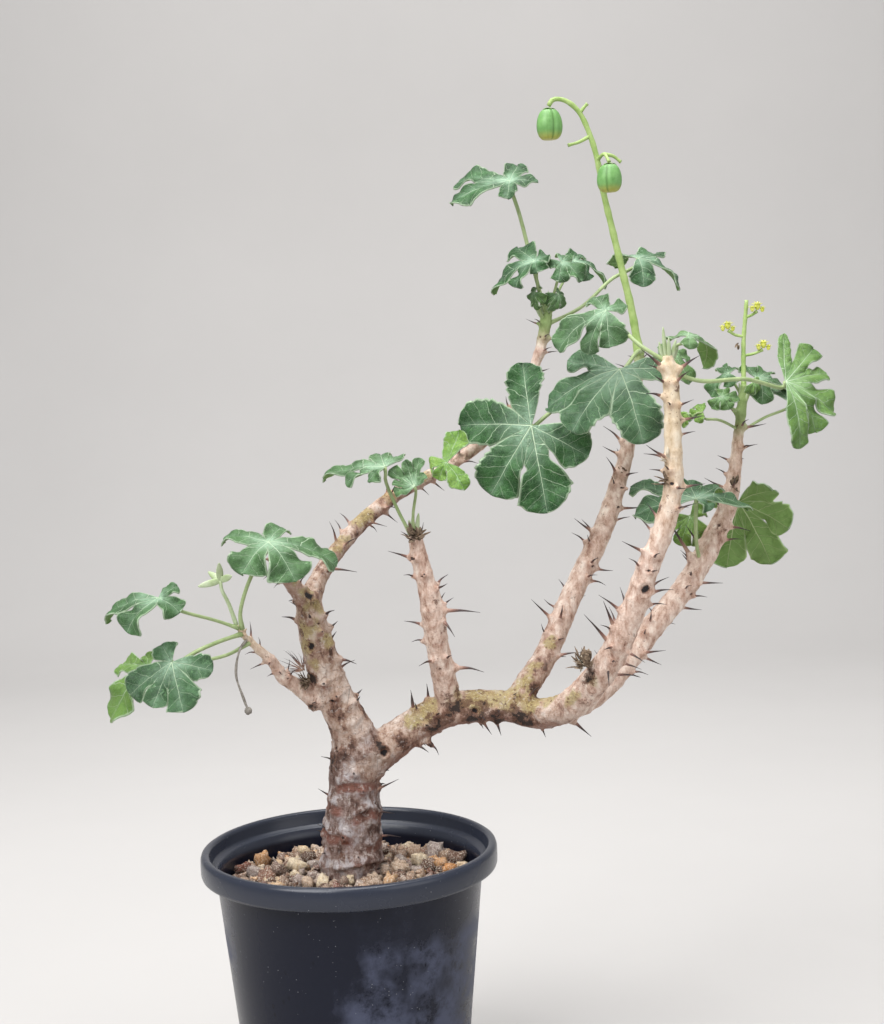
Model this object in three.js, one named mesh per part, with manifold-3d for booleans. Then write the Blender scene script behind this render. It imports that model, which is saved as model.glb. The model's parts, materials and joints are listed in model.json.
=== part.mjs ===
// Potted spiny jatropha: a plastic nursery pot, its mineral substrate and the grown plant.
// Millimetres, +Z up, origin at the centre of the pot's base, the plant's front towards -Y.

import * as THREE from 'three';
import { mergeVertices } from 'three/addons/utils/BufferGeometryUtils.js';
import Module from 'manifold-3d';

const wasm = await Module();
wasm.setup();

// Pot
const POT_HEIGHT = 140;
const POT_BASE_RADIUS = 54;
const POT_SHOULDER_RADIUS = 67.3;
const POT_SHOULDER_HEIGHT = 128;
const POT_RIM_RADIUS = 75;
const POT_WALL = 1.8;
const POT_FLOOR = 2.2;
const POT_SIDES = 40;
const DRAIN_COUNT = 8;
const DRAIN_RADIUS = 4;
const DRAIN_CIRCLE = 43;

// Substrate
const SEAT_GAP = 0.3;
const SUBSTRATE_EDGE_HEIGHT = 122;
const SUBSTRATE_MOUND = 6;
const SUBSTRATE_SECTORS = 36;
const GRAVEL_RINGS = [23, 31, 39, 46.5, 54, 60.5];
const GRAVEL_RELIEF = 1.6;
const STONE_COUNT = 28;
const STONE_RADIUS = [2.4, 4.6];

// Wood
const ROOT_DEPTH = 80;
const WOOD_STEP = 9;
const NODE_SPACING = 17;
const SPINE_SINK = 3;
const GOLDEN_TURN = 2.39996;

// Leaves
const BLADE_THICKNESS = 0.7;
const LARGE_ROWS = [0.34, 0.56, 0.78, 0.93];
const SMALL_ROWS = [0.36, 0.62, 0.87];
const SMALL_LOBE = 23;
const WEB_REACH = 0.36;
const WEB_MORE = 0.3;
const WIDE_GAP = 75;
const OPEN_GAP = 100;
const FOLD = 0.14;
const WAVE = 0.16;
const TOOTH = 0.09;
const STALK_SIDES = 5;

// Routes of the wood as [x, y, z, radius], from the parent branch outwards
const BRANCHES = {
  trunk: [[0, 0, ROOT_DEPTH, 12.5], [-0.5, 0, 98, 14], [-1, 0, 111, 14.5], [0.5, 0, 127.5, 15.5],
    [2, 0, 142, 15], [3, 0, 156.5, 14.5], [3.5, 0, 170, 13], [5.5, 0, 183, 14], [8.5, 0, 192, 14]],
  left: [[8, 0, 188, 12.5], [3, -2, 200, 11], [-3, -4, 214.5, 9.7], [-8, -6, 229.5, 9.1],
    [-11.5, -7, 243.5, 8.6], [-14, -7, 257, 7.7], [-15.5, -7, 270, 6.5]],
  left_twig: [[-12, -5, 212, 4.6], [-22.5, -9, 223.5, 4.2], [-28.5, -13, 228.5, 3.9], [-33, -18, 237.5, 3.2],
    [-39.5, -24, 245.5, 2.7], [-45.5, -30, 253.5, 2], [-48, -34, 259, 1.5]],
  left_stub: [[-14, -7, 262, 5.4], [-22, -14, 275, 4.2], [-27, -19, 283, 3.4], [-31.5, -23, 290.5, 2]],
  back: [[-15, -5, 264, 6.2], [-9.5, 4, 277, 4.9], [1, 14, 290.5, 4.6], [13.5, 24, 303, 4.5],
    [27.5, 32, 313, 4.1], [46, 40, 322.5, 3.9], [64.5, 46, 332, 3.7], [82, 52, 344.5, 3.4],
    [96, 56, 361, 3.3], [105, 59, 378.5, 3.2], [110, 61, 394.5, 3.5], [112.5, 62, 407, 3.4]],
  right: [[8, 0, 181.5, 11.5], [19, 2, 188, 10], [29, 4, 194.5, 9.5], [40.5, 5, 201, 9.3],
    [53.5, 6, 206, 8.8], [67.5, 7, 207, 8.8], [82, 7, 206.5, 8.3], [96, 6, 202.5, 8], [106, 3, 202.5, 7.8]],
  middle: [[53.5, 4, 207, 6.8], [52, 1, 217, 6.7], [50, -3, 230.5, 6.4], [48, -6, 243.5, 6.2],
    [46.5, -9, 258, 6.5], [44.5, -11, 270.5, 5.4], [41.5, -13, 284, 4.9], [39, -15, 297.5, 3.6]],
  fruiting: [[86, 7, 206.5, 7.5], [93.5, 12, 216.5, 7.1], [102, 17, 227.5, 6.6], [109.5, 22, 241, 6.4],
    [117, 27, 256, 6.2], [125.5, 31, 272, 5.9], [134, 34, 287, 5.7], [140, 36, 301, 5.5],
    [145, 38, 315, 4.9], [150.5, 39, 332, 4.2], [154.5, 39, 351, 3.4], [157, 38, 369, 3.1],
    [158.5, 37, 386, 2.8]],
  front: [[98, 3, 203, 7.8], [108, -1, 205, 8.1], [116, -6, 210, 8.2], [125.5, -14, 221.5, 7.8],
    [134, -20, 235.5, 7.3], [140.5, -25, 249.5, 6.8], [146, -29, 264.5, 6.5], [151, -32, 279.5, 6],
    [157, -34, 293.5, 5.7], [161.5, -35, 308, 5.5], [164, -36, 322.5, 5], [164, -36, 338, 4.8],
    [164, -35, 357, 4.5], [163.5, -34, 374, 4.2], [162.5, -34, 381, 2.6]],
  rear: [[100, 5, 203, 7.6], [110, 11, 202.5, 7.4], [120.5, 16, 205, 7.1], [134.5, 24, 212, 6.7],
    [148.5, 31, 225.5, 6.5], [161, 36, 239.5, 6.5], [174.5, 40, 254, 6.5], [187, 43, 270, 6.5],
    [196.5, 45, 286.5, 6.3], [204, 46, 302, 5.3], [208, 47, 320, 3.9], [210, 47, 336, 3.4],
    [212, 47, 350.5, 3.2], [213.5, 47, 365, 2.6]],
};
const BRANCH_SIDES = { trunk: 14, left: 12, right: 12, front: 10, rear: 10, fruiting: 10, middle: 9 };
const SLIM_SIDES = 7;

// Spines by rule: first and last share of the branch, shortest and longest spine, root radius
const SPINE_RULES = {
  trunk: [0.36, 0.95, 3, 5, 1.8],
  left: [0.2, 0.95, 4, 8, 1.5],
  left_twig: [0.25, 0.9, 5, 8, 0.8],
  left_stub: [0.25, 0.95, 4, 7, 0.8],
  back: [0.12, 0.97, 7, 12, 0.9],
  right: [0.2, 0.93, 5, 9, 1.3],
  middle: [0.22, 0.98, 7, 12, 1.1],
  fruiting: [0.12, 0.97, 8, 13, 1.1],
  front: [0.18, 0.97, 8, 14, 1.1],
  rear: [0.18, 0.93, 8, 13, 1.1],
};

// Large spines that stand out, as [root, tip]
const MARKED_SPINES = [
  [[133, -23, 241], [120, -27, 257]], [[132, -21, 233], [131, -30, 222]],
  [[134.5, -26, 250], [129, -33, 264]],
  [[52, -11, 259], [70, -15, 258]], [[51, -11, 255], [57, -19, 247]], [[57, -4, 229], [71, -8, 227]],
  [[116, 11, 197], [125, 8, 189]], [[35, 2, 206], [34, -1, 218]], [[182, 40, 277], [169, 34, 298]],
  [[160, -36, 375], [149, -41, 384]], [[168, -35, 374], [177, -40, 380]], [[160, -37, 361], [151, -40, 363]],
  [[-1, -8, 236], [8, -12, 234]], [[-20, -9, 256], [-28, -13, 259]],
];

// Leaves: hub where the lobes meet, facing direction, stalk from the stem to below the hub, and
// lobes as [direction in degrees, length, half width, droop in degrees]
const LEAVES = {
  leaf_left_1: {
    hub: [-30, -42, 299], face: [0.05, -0.45, 0.9],
    stalk: [[-45.3, -32.5, 256.5], [-45.6, -35.2, 264], [-42.4, -38, 275], [-36.5, -42, 287]],
    lobes: [[3, 36, 9.5, 50], [73, 16, 6.5, 10], [148, 28, 7, 35], [239, 22.5, 10, 32],
      [306, 26, 11.5, 45]],
  },
  leaf_left_2: {
    hub: [-81.5, -52, 275.5], face: [-0.15, -0.52, 0.85],
    stalk: [[-47, -33, 257], [-57, -39, 262], [-70, -50, 268]],
    lobes: [[36, 10.5, 4.5, 0], [165, 34.5, 8, 50], [215, 22, 8.5, 45], [321, 13.5, 7, 40]],
  },
  leaf_left_3: {
    hub: [-76, -56, 245.5], face: [-0.05, -0.8, 0.6],
    stalk: [[-45.5, -31, 254], [-56, -42, 252], [-65.5, -51, 249]],
    lobes: [[120, 10.5, 6.5, 0], [214, 24.5, 9, 25], [248, 23, 8, 20], [284, 25.5, 11, 15],
      [347, 19.5, 7, 20]],
  },
  leaf_left_4: {
    hub: [-90, -38, 240], face: [-0.35, -0.55, 0.75],
    stalk: [[-42.5, -28, 249], [-53, -31, 244], [-67, -34, 241.5]],
    lobes: [[108, 11, 5, 10], [142, 27.5, 7, 30], [211, 31.5, 11, 45]],
  },
  leaf_middle_1: {
    hub: [26, -26, 332], face: [-0.1, -0.4, 0.92],
    stalk: [[37, -16, 298], [31, -17.5, 311], [26, -20.5, 325]],
    lobes: [[66, 17, 5, 20], [98, 24, 6, 25], [155, 36.5, 8, 32], [184, 21, 6, 35], [216, 11, 6, 50]],
  },
  leaf_middle_2: {
    hub: [40, -28, 322], face: [-0.2, -0.8, 0.6],
    stalk: [[39, -16, 298], [38.7, -19, 307]],
    lobes: [[51, 8, 3, -10], [79, 15.5, 4, -10], [104, 15, 3, -20], [138, 15.5, 5, -20],
      [162, 11, 3.5, -10], [186, 10, 4, 10]],
  },
  leaf_fruiting_1: {
    hub: [100, 22, 348], face: [-0.12, -0.9, 0.35],
    stalk: [[155, 38, 359], [137, 34, 361], [115, 28, 357]],
    lobes: [[95, 36, 9.5, 10], [171, 39, 13.5, 25], [236, 41, 14, 15], [277, 46, 14, 15],
      [328, 33, 12, 15]],
  },
  leaf_fruiting_2: {
    hub: [143, -4, 375], face: [-0.05, -0.68, 0.74],
    stalk: [[158.5, 37, 384], [154, 18, 383]],
    lobes: [[0, 32.5, 10, 15], [160, 26.5, 8.5, 5], [190, 42, 11, 52], [227, 41, 12, 40],
      [281, 42.5, 12.5, 40]],
  },
  leaf_front_1: {
    hub: [135.8, -16, 403.5], face: [-0.1, -0.62, 0.8],
    stalk: [[163, -34, 377], [150, -30, 386], [143, -22, 394]],
    lobes: [[10, 10.5, 5, 0], [110, 12, 6, 0], [203, 31, 10, 50], [236, 24.5, 5.5, 68], [268, 21, 9, 45]],
  },
  leaf_front_2: {
    hub: [223.5, -10, 366], face: [0.12, -0.62, 0.76],
    stalk: [[163.5, -34, 373], [178, -32, 368], [201, -24, 368]],
    lobes: [[26, 26, 7, 10], [53, 29, 9, -15], [83, 34.5, 3.4, -10], [284, 36, 6.5, 70], [307, 30, 9.5, 60],
      [340, 29.5, 9, 45]],
  },
  leaf_front_3: {
    hub: [173, -32, 389.5], face: [0.15, -0.5, 0.85],
    stalk: [[163, -34, 378], [167, -33, 385]],
    lobes: [[36, 31.5, 5.5, 105], [139, 11.5, 4, 70], [269, 7.5, 4, 50]],
  },
  leaf_front_4: {
    hub: [167, -10, 383], face: [0.1, -0.6, 0.8],
    stalk: [[163.5, -33, 370], [162.5, -21, 375]],
    lobes: [[158, 6, 4, 0], [304, 19.5, 5.5, 60], [340, 10.5, 5, 35]],
  },
  leaf_back_1: {
    hub: [95, 66, 477], face: [-0.1, -0.52, 0.85],
    stalk: [[112, 62, 405], [105.7, 71, 434], [99.8, 71.5, 460]],
    lobes: [[73, 18.5, 6.5, 0], [145, 34.5, 11, 20], [180, 34, 10.5, 32], [261, 14, 5, 35],
      [347, 15, 5, 10]],
  },
  leaf_back_2: {
    hub: [106, 48, 433], face: [-0.25, -0.48, 0.85],
    stalk: [[112, 62, 403], [107, 52, 422]],
    lobes: [[20, 8, 6, 10], [112, 21.5, 8.5, 0], [171, 30, 9, 60], [208, 17.5, 8, 60], [270, 8, 6, 50]],
  },
  leaf_back_3: {
    hub: [120, 50, 432], face: [0.1, -0.52, 0.85],
    stalk: [[112.5, 62, 404], [117, 53, 420]],
    lobes: [[72, 11, 5, 20], [215, 7, 5, 30], [261, 13, 7, 50], [323, 15, 7, 50]],
  },
  leaf_back_4: {
    hub: [128.5, 76, 434.5], face: [0.2, -0.45, 0.88],
    stalk: [[112.5, 62, 403], [121, 70, 421]],
    lobes: [[6, 25, 9, 65], [70, 10, 6, 5], [248, 8.5, 5, 40], [322, 14, 6.5, 60]],
  },
  leaf_back_5: {
    hub: [164, 82, 435], face: [0.1, -0.3, 0.93],
    stalk: [[111.5, 61.5, 400], [131, 66, 409], [149, 76, 424]],
    lobes: [[4, 31, 9, 70], [59, 26, 8, 10], [114, 26, 7, 50], [278, 21, 7, 70]],
  },
  leaf_back_6: {
    hub: [56, 16, 331], face: [-0.1, -0.6, 0.75],
    stalk: [[52, 42, 325], [53, 26, 324]],
    lobes: [[68, 21, 6.5, -20], [176, 9.5, 7, 60], [238, 10, 6, 60], [296, 19, 5.5, 30]],
  },
  leaf_rear_1: {
    hub: [182.5, 16, 308], face: [-0.02, -0.42, 0.9],
    stalk: [[188, 43, 272], [184.5, 32, 284], [183, 22, 300]],
    lobes: [[17, 33.5, 9, 45], [46, 20, 7, 10], [94, 18.5, 8, 0], [142, 39, 8, 15], [180, 33, 10, 30],
      [328, 9.5, 6, 50]],
  },
  leaf_rear_2: {
    hub: [213, 66, 302], face: [0.15, 0.75, 0.6],
    stalk: [[198, 45, 289], [203, 56, 291], [210, 61, 297]],
    lobes: [[20, 31, 11, 30], [58, 42, 13, 35], [94, 41, 12, 35], [193, 19.5, 8, 20], [318, 23.5, 8, 30]],
  },
  leaf_rear_3: {
    hub: [185, 55, 296], face: [0, -0.8, 0.5],
    stalk: [[188, 43.5, 272], [189, 58, 279], [187, 61, 288]],
    lobes: [[30, 9, 5, 0], [205, 14, 7, 20], [248, 17, 6, 30], [290, 17, 6.5, 30]],
  },
  leaf_rear_4: {
    hub: [206, 48, 371], face: [-0.25, -0.45, 0.9],
    stalk: [[213, 47, 357], [209, 47, 365]],
    lobes: [[64, 6, 4, 10], [100, 9.5, 5, 10], [206, 15.5, 6, 65], [257, 8.5, 5, 60]],
  },
  leaf_rear_5: {
    hub: [222, 52, 368], face: [0.2, -0.45, 0.9],
    stalk: [[213, 47, 356], [219, 50, 363]],
    lobes: [[30, 26, 6, 50], [58, 18, 6, 15], [109, 13, 6, 0], [281, 16, 6, 70]],
  },
  leaf_rear_6: {
    hub: [200, 36, 359], face: [-0.2, -0.6, 0.7],
    stalk: [[212, 47, 350], [204, 39, 354]],
    lobes: [[71, 6, 4, 10], [211, 8, 4, 50], [291, 8, 4, 50], [350, 9, 4, 40]],
  },
  leaf_rear_7: {
    hub: [190, 38, 351], face: [-0.2, -0.5, 0.8],
    stalk: [[211, 47, 341], [199, 41, 347]],
    lobes: [[94, 9, 3.5, 10], [161, 10.5, 4.5, 40], [240, 6, 3, 50]],
  },
  leaf_rear_8: {
    hub: [240, 58, 355], face: [0.1, -0.5, 0.8],
    stalk: [[211, 47, 340], [225, 52, 347]],
    lobes: [[60, 14, 5, 0], [104, 25, 6, 40], [284, 9, 5, 50]],
  },
};
const STALK_RADIUS = {
  leaf_left_1: 1.1, leaf_left_2: 0.95, leaf_left_3: 1.15, leaf_left_4: 1, leaf_middle_1: 0.95,
  leaf_fruiting_1: 1.2, leaf_fruiting_2: 1.2, leaf_front_1: 1.1, leaf_front_2: 1.15, leaf_back_1: 1.2,
  leaf_back_5: 1.1, leaf_rear_1: 1.15, leaf_rear_2: 1.15,
};
const SLIM_STALK_RADIUS = 0.85;

// Young shoot, dead stalk, fruit and flowers
const SHOOT_ROUTE = [[-48, -33, 258.8], [-51, -36, 270], [-53.5, -38, 276.5], [-54, -38, 281]];
const SHOOT_TIPS = [[-64, -42, 279], [-54, -41, 290], [-47, -43, 284], [-59, -34, 284]];
const DRY_STALK_ROUTE = [
  [-43.5, -28.5, 251], [-46.8, -33.5, 246.5], [-48.8, -36, 235], [-45.8, -37.5, 224.5], [-43.5, -37.5, 217.5],
];
const FRUIT_STALK_ROUTE = [[158, 37.5, 382], [154.5, 37, 405.5], [150, 36, 426], [145.5, 35, 446.5],
  [141.5, 34, 464.5], [138.5, 33, 482], [135, 32, 494.5], [130, 31, 505.5], [125, 30, 510.5],
  [120, 29, 512.5], [116, 28, 512], [114, 28, 509.2]];
const FRUIT_STUBS = [
  [[130, 31, 505.5], [134, 30, 510]],
  [[135, 32, 494], [123.5, 30, 489.5]],
  [[138.5, 33, 482], [141.5, 27, 484], [143.5, 23.5, 479.6]],
  [[141.5, 27, 484], [150, 29, 480]],
];
const CAPSULES = {
  seed_capsule_1: { at: [114, 28, 499.8], radius: 6.6, height: 16.4, turn: 0.2 },
  seed_capsule_2: { at: [143.5, 23.5, 471.4], radius: 6.3, height: 15, turn: 0.9 },
};
const FLOWER_STALK_ROUTE = [[213.5, 47, 362.5], [214, 49, 372], [214.5, 50, 388], [215.5, 50, 398.5],
  [216.5, 50, 409]];
const PEDICELS = [
  [[216, 50, 400], [221.3, 47.2, 402.9]],
  [[215, 50, 390], [206.3, 48.1, 393.4]],
  [[214.5, 50, 380], [224.2, 48.1, 382.9]],
];
const FLOWERS = {
  flower_1: [221.5, 47, 406], flower_2: [206, 48, 396.5], flower_3: [224.5, 48, 386],
};

const COLOURS = {
  pot: 0x23262b, substrate: 0xa48a6c, wood: 0xb59f86, leaf: 0x5f8265, young: 0x93b26a, dry: 0x9b968b,
  flower: 0xc3cf6b, fruit: 0x8fb062,
};

function fraction(value) {
  return value - Math.floor(value);
}

// A repeatable number from 0 to 1 for each seed
function scatter(seed) {
  return fraction(Math.sin(seed * 12.9898 + 4.1414) * 43758.5453);
}

function vec(p) {
  return new THREE.Vector3(p[0], p[1], p[2]);
}

// Geometry to solid: shared vertices merged, empty triangles dropped, faces turned outwards
function toSolid(geometry) {
  geometry.deleteAttribute('normal');
  geometry.deleteAttribute('uv');
  const merged = mergeVertices(geometry, 1e-3);
  const points = merged.attributes.position.array;
  const corners = merged.index.array;
  let triangles = [];
  let volume = 0;
  const a = new THREE.Vector3();
  const b = new THREE.Vector3();
  const c = new THREE.Vector3();
  for (let i = 0; i < corners.length; i += 3) {
    const [p, q, r] = [corners[i], corners[i + 1], corners[i + 2]];
    if (p !== q && q !== r && r !== p) {
      triangles.push(p, q, r);
      a.fromArray(points, 3 * p);
      b.fromArray(points, 3 * q);
      c.fromArray(points, 3 * r);
      volume += a.dot(b.cross(c));
    }
  }
  if (volume < 0) {
    triangles = triangles.reverse();
  }
  return new wasm.Manifold(new wasm.Mesh({
    numProp: 3,
    vertProperties: new Float32Array(points),
    triVerts: new Uint32Array(triangles),
  }));
}

function toMesh(name, solid, colour, roughness) {
  const result = solid.getMesh();
  const geometry = new THREE.BufferGeometry();
  geometry.setAttribute('position', new THREE.BufferAttribute(new Float32Array(result.vertProperties), 3));
  geometry.setIndex(new THREE.BufferAttribute(new Uint32Array(result.triVerts), 1));
  const material = new THREE.MeshStandardMaterial({ color: colour, roughness, metalness: 0 });
  const mesh = new THREE.Mesh(geometry, material);
  mesh.name = name;
  return mesh;
}

function unite(solids) {
  return solids.reduce((whole, next) => whole.add(next));
}

// Radius at a share of the route's length, from the radii at its points
function radiusAt(route, share) {
  const reach = [0];
  for (let i = 1; i < route.length; i += 1) {
    reach.push(reach[i - 1] + vec(route[i]).distanceTo(vec(route[i - 1])));
  }
  const goal = share * reach[reach.length - 1];
  let i = 1;
  while (i < route.length - 1 && reach[i] < goal) {
    i += 1;
  }
  const part = (goal - reach[i - 1]) / (reach[i] - reach[i - 1]);
  return route[i - 1][3] + (route[i][3] - route[i - 1][3]) * part;
}

function smoothCurve(route) {
  return new THREE.CatmullRomCurve3(route.map(vec), false, 'centripetal');
}

// Closed tapering tube: a unit cylinder bent along the route
function woodTube(route, sides, step, extra = 0) {
  const curve = smoothCurve(route);
  const steps = Math.max(2, Math.round(curve.getLength() / step));
  const frames = curve.computeFrenetFrames(steps, false);
  const geometry = new THREE.CylinderGeometry(1, 1, 1, sides, steps);
  const position = geometry.attributes.position;
  for (let i = 0; i < position.count; i += 1) {
    const share = position.getY(i) + 0.5;
    const ring = Math.round(share * steps);
    const swell = 1 + 0.035 * Math.sin(ring * 2.6);
    const radius = radiusAt(route, share) * swell + extra;
    const point = curve.getPointAt(share);
    point.addScaledVector(frames.binormals[ring], position.getX(i) * radius);
    point.addScaledVector(frames.normals[ring], position.getZ(i) * radius);
    position.setXYZ(i, point.x, point.y, point.z);
  }
  return toSolid(geometry);
}

// Round stalk of even thickness along a route
function stalkTube(points, radius, sides, steps) {
  const section = new THREE.Shape();
  for (let i = 0; i < sides; i += 1) {
    const angle = (2 * Math.PI * i) / sides;
    const [x, y] = [radius * Math.cos(angle), radius * Math.sin(angle)];
    if (i === 0) {
      section.moveTo(x, y);
    } else {
      section.lineTo(x, y);
    }
  }
  section.closePath();
  const path = new THREE.CatmullRomCurve3(points, false, 'centripetal');
  return toSolid(new THREE.ExtrudeGeometry(section, { steps, extrudePath: path, bevelEnabled: false }));
}

// Pyramid from a sunk root to the tip
function spine(root, tip, radius, sides) {
  const direction = tip.clone().sub(root);
  const length = direction.length() + SPINE_SINK;
  direction.normalize();
  const geometry = new THREE.ConeGeometry(radius, length, sides, 1);
  geometry.translate(0, length / 2 - SPINE_SINK, 0);
  const turn = new THREE.Quaternion().setFromUnitVectors(new THREE.Vector3(0, 1, 0), direction);
  geometry.applyQuaternion(turn);
  geometry.translate(root.x, root.y, root.z);
  return toSolid(geometry);
}

// Roots and tips of the spines along one branch, in pairs that climb in a spiral
function spineRow(route, rule) {
  const [first, last, shortest, longest, radius] = rule;
  const curve = smoothCurve(route);
  const total = curve.getLength();
  const count = Math.max(1, Math.round(((last - first) * total) / NODE_SPACING));
  const steps = 60;
  const frames = curve.computeFrenetFrames(steps, false);
  const row = [];
  for (let i = 0; i < count; i += 1) {
    const share = first + ((last - first) * (i + 0.5)) / count;
    const ring = Math.round(share * steps);
    const centre = curve.getPointAt(ring / steps);
    const tangent = curve.getTangentAt(ring / steps);
    for (const side of [-1, 1]) {
      const seed = i * 7.3 + side * 1.7 + total;
      const angle = i * GOLDEN_TURN + side * (0.5 + 0.2 * scatter(seed));
      const outward = new THREE.Vector3();
      outward.addScaledVector(frames.binormals[ring], Math.cos(angle));
      outward.addScaledVector(frames.normals[ring], Math.sin(angle));
      const root = centre.clone().addScaledVector(outward, radiusAt(route, share) * 0.92);
      const length = shortest + (longest - shortest) * scatter(seed + 3);
      outward.addScaledVector(tangent, 0.1 + 0.5 * scatter(seed + 5)).normalize();
      row.push({ root, tip: root.clone().addScaledVector(outward, length + 1), radius });
    }
  }
  return row;
}

// Blade of a leaf: fans of lobes round the hub, thickened along the surface normals
function bladeSolid(leaf, phase) {
  const normal = vec(leaf.face).normalize();
  const across = new THREE.Vector3(1, 0, 0).addScaledVector(normal, -normal.x).normalize();
  const along = normal.clone().cross(across);
  const hub = vec(leaf.hub);
  const points = [hub.clone()];
  const faces = [];
  const count = leaf.lobes.length;
  const gaps = leaf.lobes.map((lobe, k) => {
    const next = leaf.lobes[(k + 1) % count];
    return (next[0] - lobe[0] + 360) % 360;
  });
  const widest = Math.max(...gaps);
  const open = gaps.map((gap) => gap === widest && gap > OPEN_GAP);
  const place = (point) => points.push(point) - 1;

  const webs = leaf.lobes.map((lobe, k) => {
    if (open[k]) {
      return null;
    }
    const next = leaf.lobes[(k + 1) % count];
    const angle = THREE.MathUtils.degToRad(lobe[0] + gaps[k] / 2);
    const share = WEB_REACH + WEB_MORE * Math.max(0, 1 - gaps[k] / WIDE_GAP);
    const reach = share * Math.min(lobe[1], next[1]);
    const point = hub.clone().addScaledVector(across, reach * Math.cos(angle));
    point.addScaledVector(along, reach * Math.sin(angle)).addScaledVector(normal, -0.04 * reach);
    return place(point);
  });

  leaf.lobes.forEach(([degrees, length, halfWidth, droop], k) => {
    const rows = length > SMALL_LOBE ? LARGE_ROWS : SMALL_ROWS;
    const angle = THREE.MathUtils.degToRad(degrees);
    const bend = THREE.MathUtils.degToRad(droop) || 1e-3;
    const heading = across.clone().multiplyScalar(Math.cos(angle)).addScaledVector(along, Math.sin(angle));
    const sideways = normal.clone().cross(heading);
    const beforeGap = gaps[(k + count - 1) % count];
    const ribPoint = (share) => hub.clone()
      .addScaledVector(heading, (length * Math.sin(bend * share)) / bend)
      .addScaledVector(normal, (-length * (1 - Math.cos(bend * share))) / bend);
    const edgePoint = (share, row, side, gap) => {
      const limit = gap < 170 ? 0.94 * ((length * Math.sin(bend * share)) / bend)
        * Math.tan(THREE.MathUtils.degToRad(gap / 2)) : Infinity;
      const outline = (share ** 0.95 * (1 - share ** 3.6) ** 0.55) / 0.6;
      const tooth = 1 + TOOTH * (row % 2 === 0 ? 1 : -1);
      const width = Math.min(halfWidth * outline * tooth, limit);
      const lift = (FOLD + WAVE * Math.sin(phase + row * 2.3 + k * 1.9 + side)) * width;
      const up = normal.clone().multiplyScalar(Math.cos(bend * share));
      up.addScaledVector(heading, Math.sin(bend * share));
      return ribPoint(share).addScaledVector(sideways, side * width).addScaledVector(up, lift);
    };
    let right = null;
    let rib = null;
    let left = null;
    rows.forEach((share, row) => {
      const nextRib = place(ribPoint(share));
      const rightWeb = row === 0 ? webs[(k + count - 1) % count] : null;
      const leftWeb = row === 0 ? webs[k] : null;
      const nextRight = rightWeb ?? place(edgePoint(share, row, -1, beforeGap));
      const nextLeft = leftWeb ?? place(edgePoint(share, row, 1, gaps[k]));
      if (row === 0) {
        faces.push([0, nextRight, nextRib], [0, nextRib, nextLeft]);
      } else {
        faces.push([right, nextRight, nextRib], [right, nextRib, rib]);
        faces.push([rib, nextRib, nextLeft], [rib, nextLeft, left]);
      }
      [right, rib, left] = [nextRight, nextRib, nextLeft];
    });
    const tip = place(ribPoint(1));
    faces.push([right, tip, rib], [rib, tip, left]);
  });
  return thicken(points, faces);
}

// Sheet to solid: the same triangles on both faces, and a wall along the free edges
function thicken(points, faces) {
  const normals = points.map(() => new THREE.Vector3());
  const edges = new Set();
  for (const [a, b, c] of faces) {
    const u = points[b].clone().sub(points[a]);
    const v = points[c].clone().sub(points[a]);
    const n = u.cross(v);
    [a, b, c].forEach((i) => normals[i].add(n));
    [[a, b], [b, c], [c, a]].forEach(([i, j]) => edges.add(`${i}_${j}`));
  }
  const positions = [];
  for (const side of [0.5, -0.5]) {
    points.forEach((point, i) => {
      const shifted = point.clone().addScaledVector(normals[i].clone().normalize(), side * BLADE_THICKNESS);
      positions.push(shifted.x, shifted.y, shifted.z);
    });
  }
  const below = points.length;
  const triangles = [];
  for (const [a, b, c] of faces) {
    triangles.push(a, b, c, c + below, b + below, a + below);
    for (const [i, j] of [[a, b], [b, c], [c, a]]) {
      if (!edges.has(`${j}_${i}`)) {
        triangles.push(j, i, i + below, j, i + below, j + below);
      }
    }
  }
  const geometry = new THREE.BufferGeometry();
  geometry.setAttribute('position', new THREE.BufferAttribute(new Float32Array(positions), 3));
  geometry.setIndex(triangles);
  return toSolid(geometry);
}

function leafSolid(name, leaf, index) {
  const radius = STALK_RADIUS[name] ?? SLIM_STALK_RADIUS;
  const normal = vec(leaf.face).normalize();
  const hub = vec(leaf.hub);
  const points = leaf.stalk.map(vec);
  points.push(hub.clone().addScaledVector(normal, -3.5), hub.clone());
  const stalk = stalkTube(points, radius, STALK_SIDES, points.length);
  return bladeSolid(leaf, index * 1.3).add(stalk);
}

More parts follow.
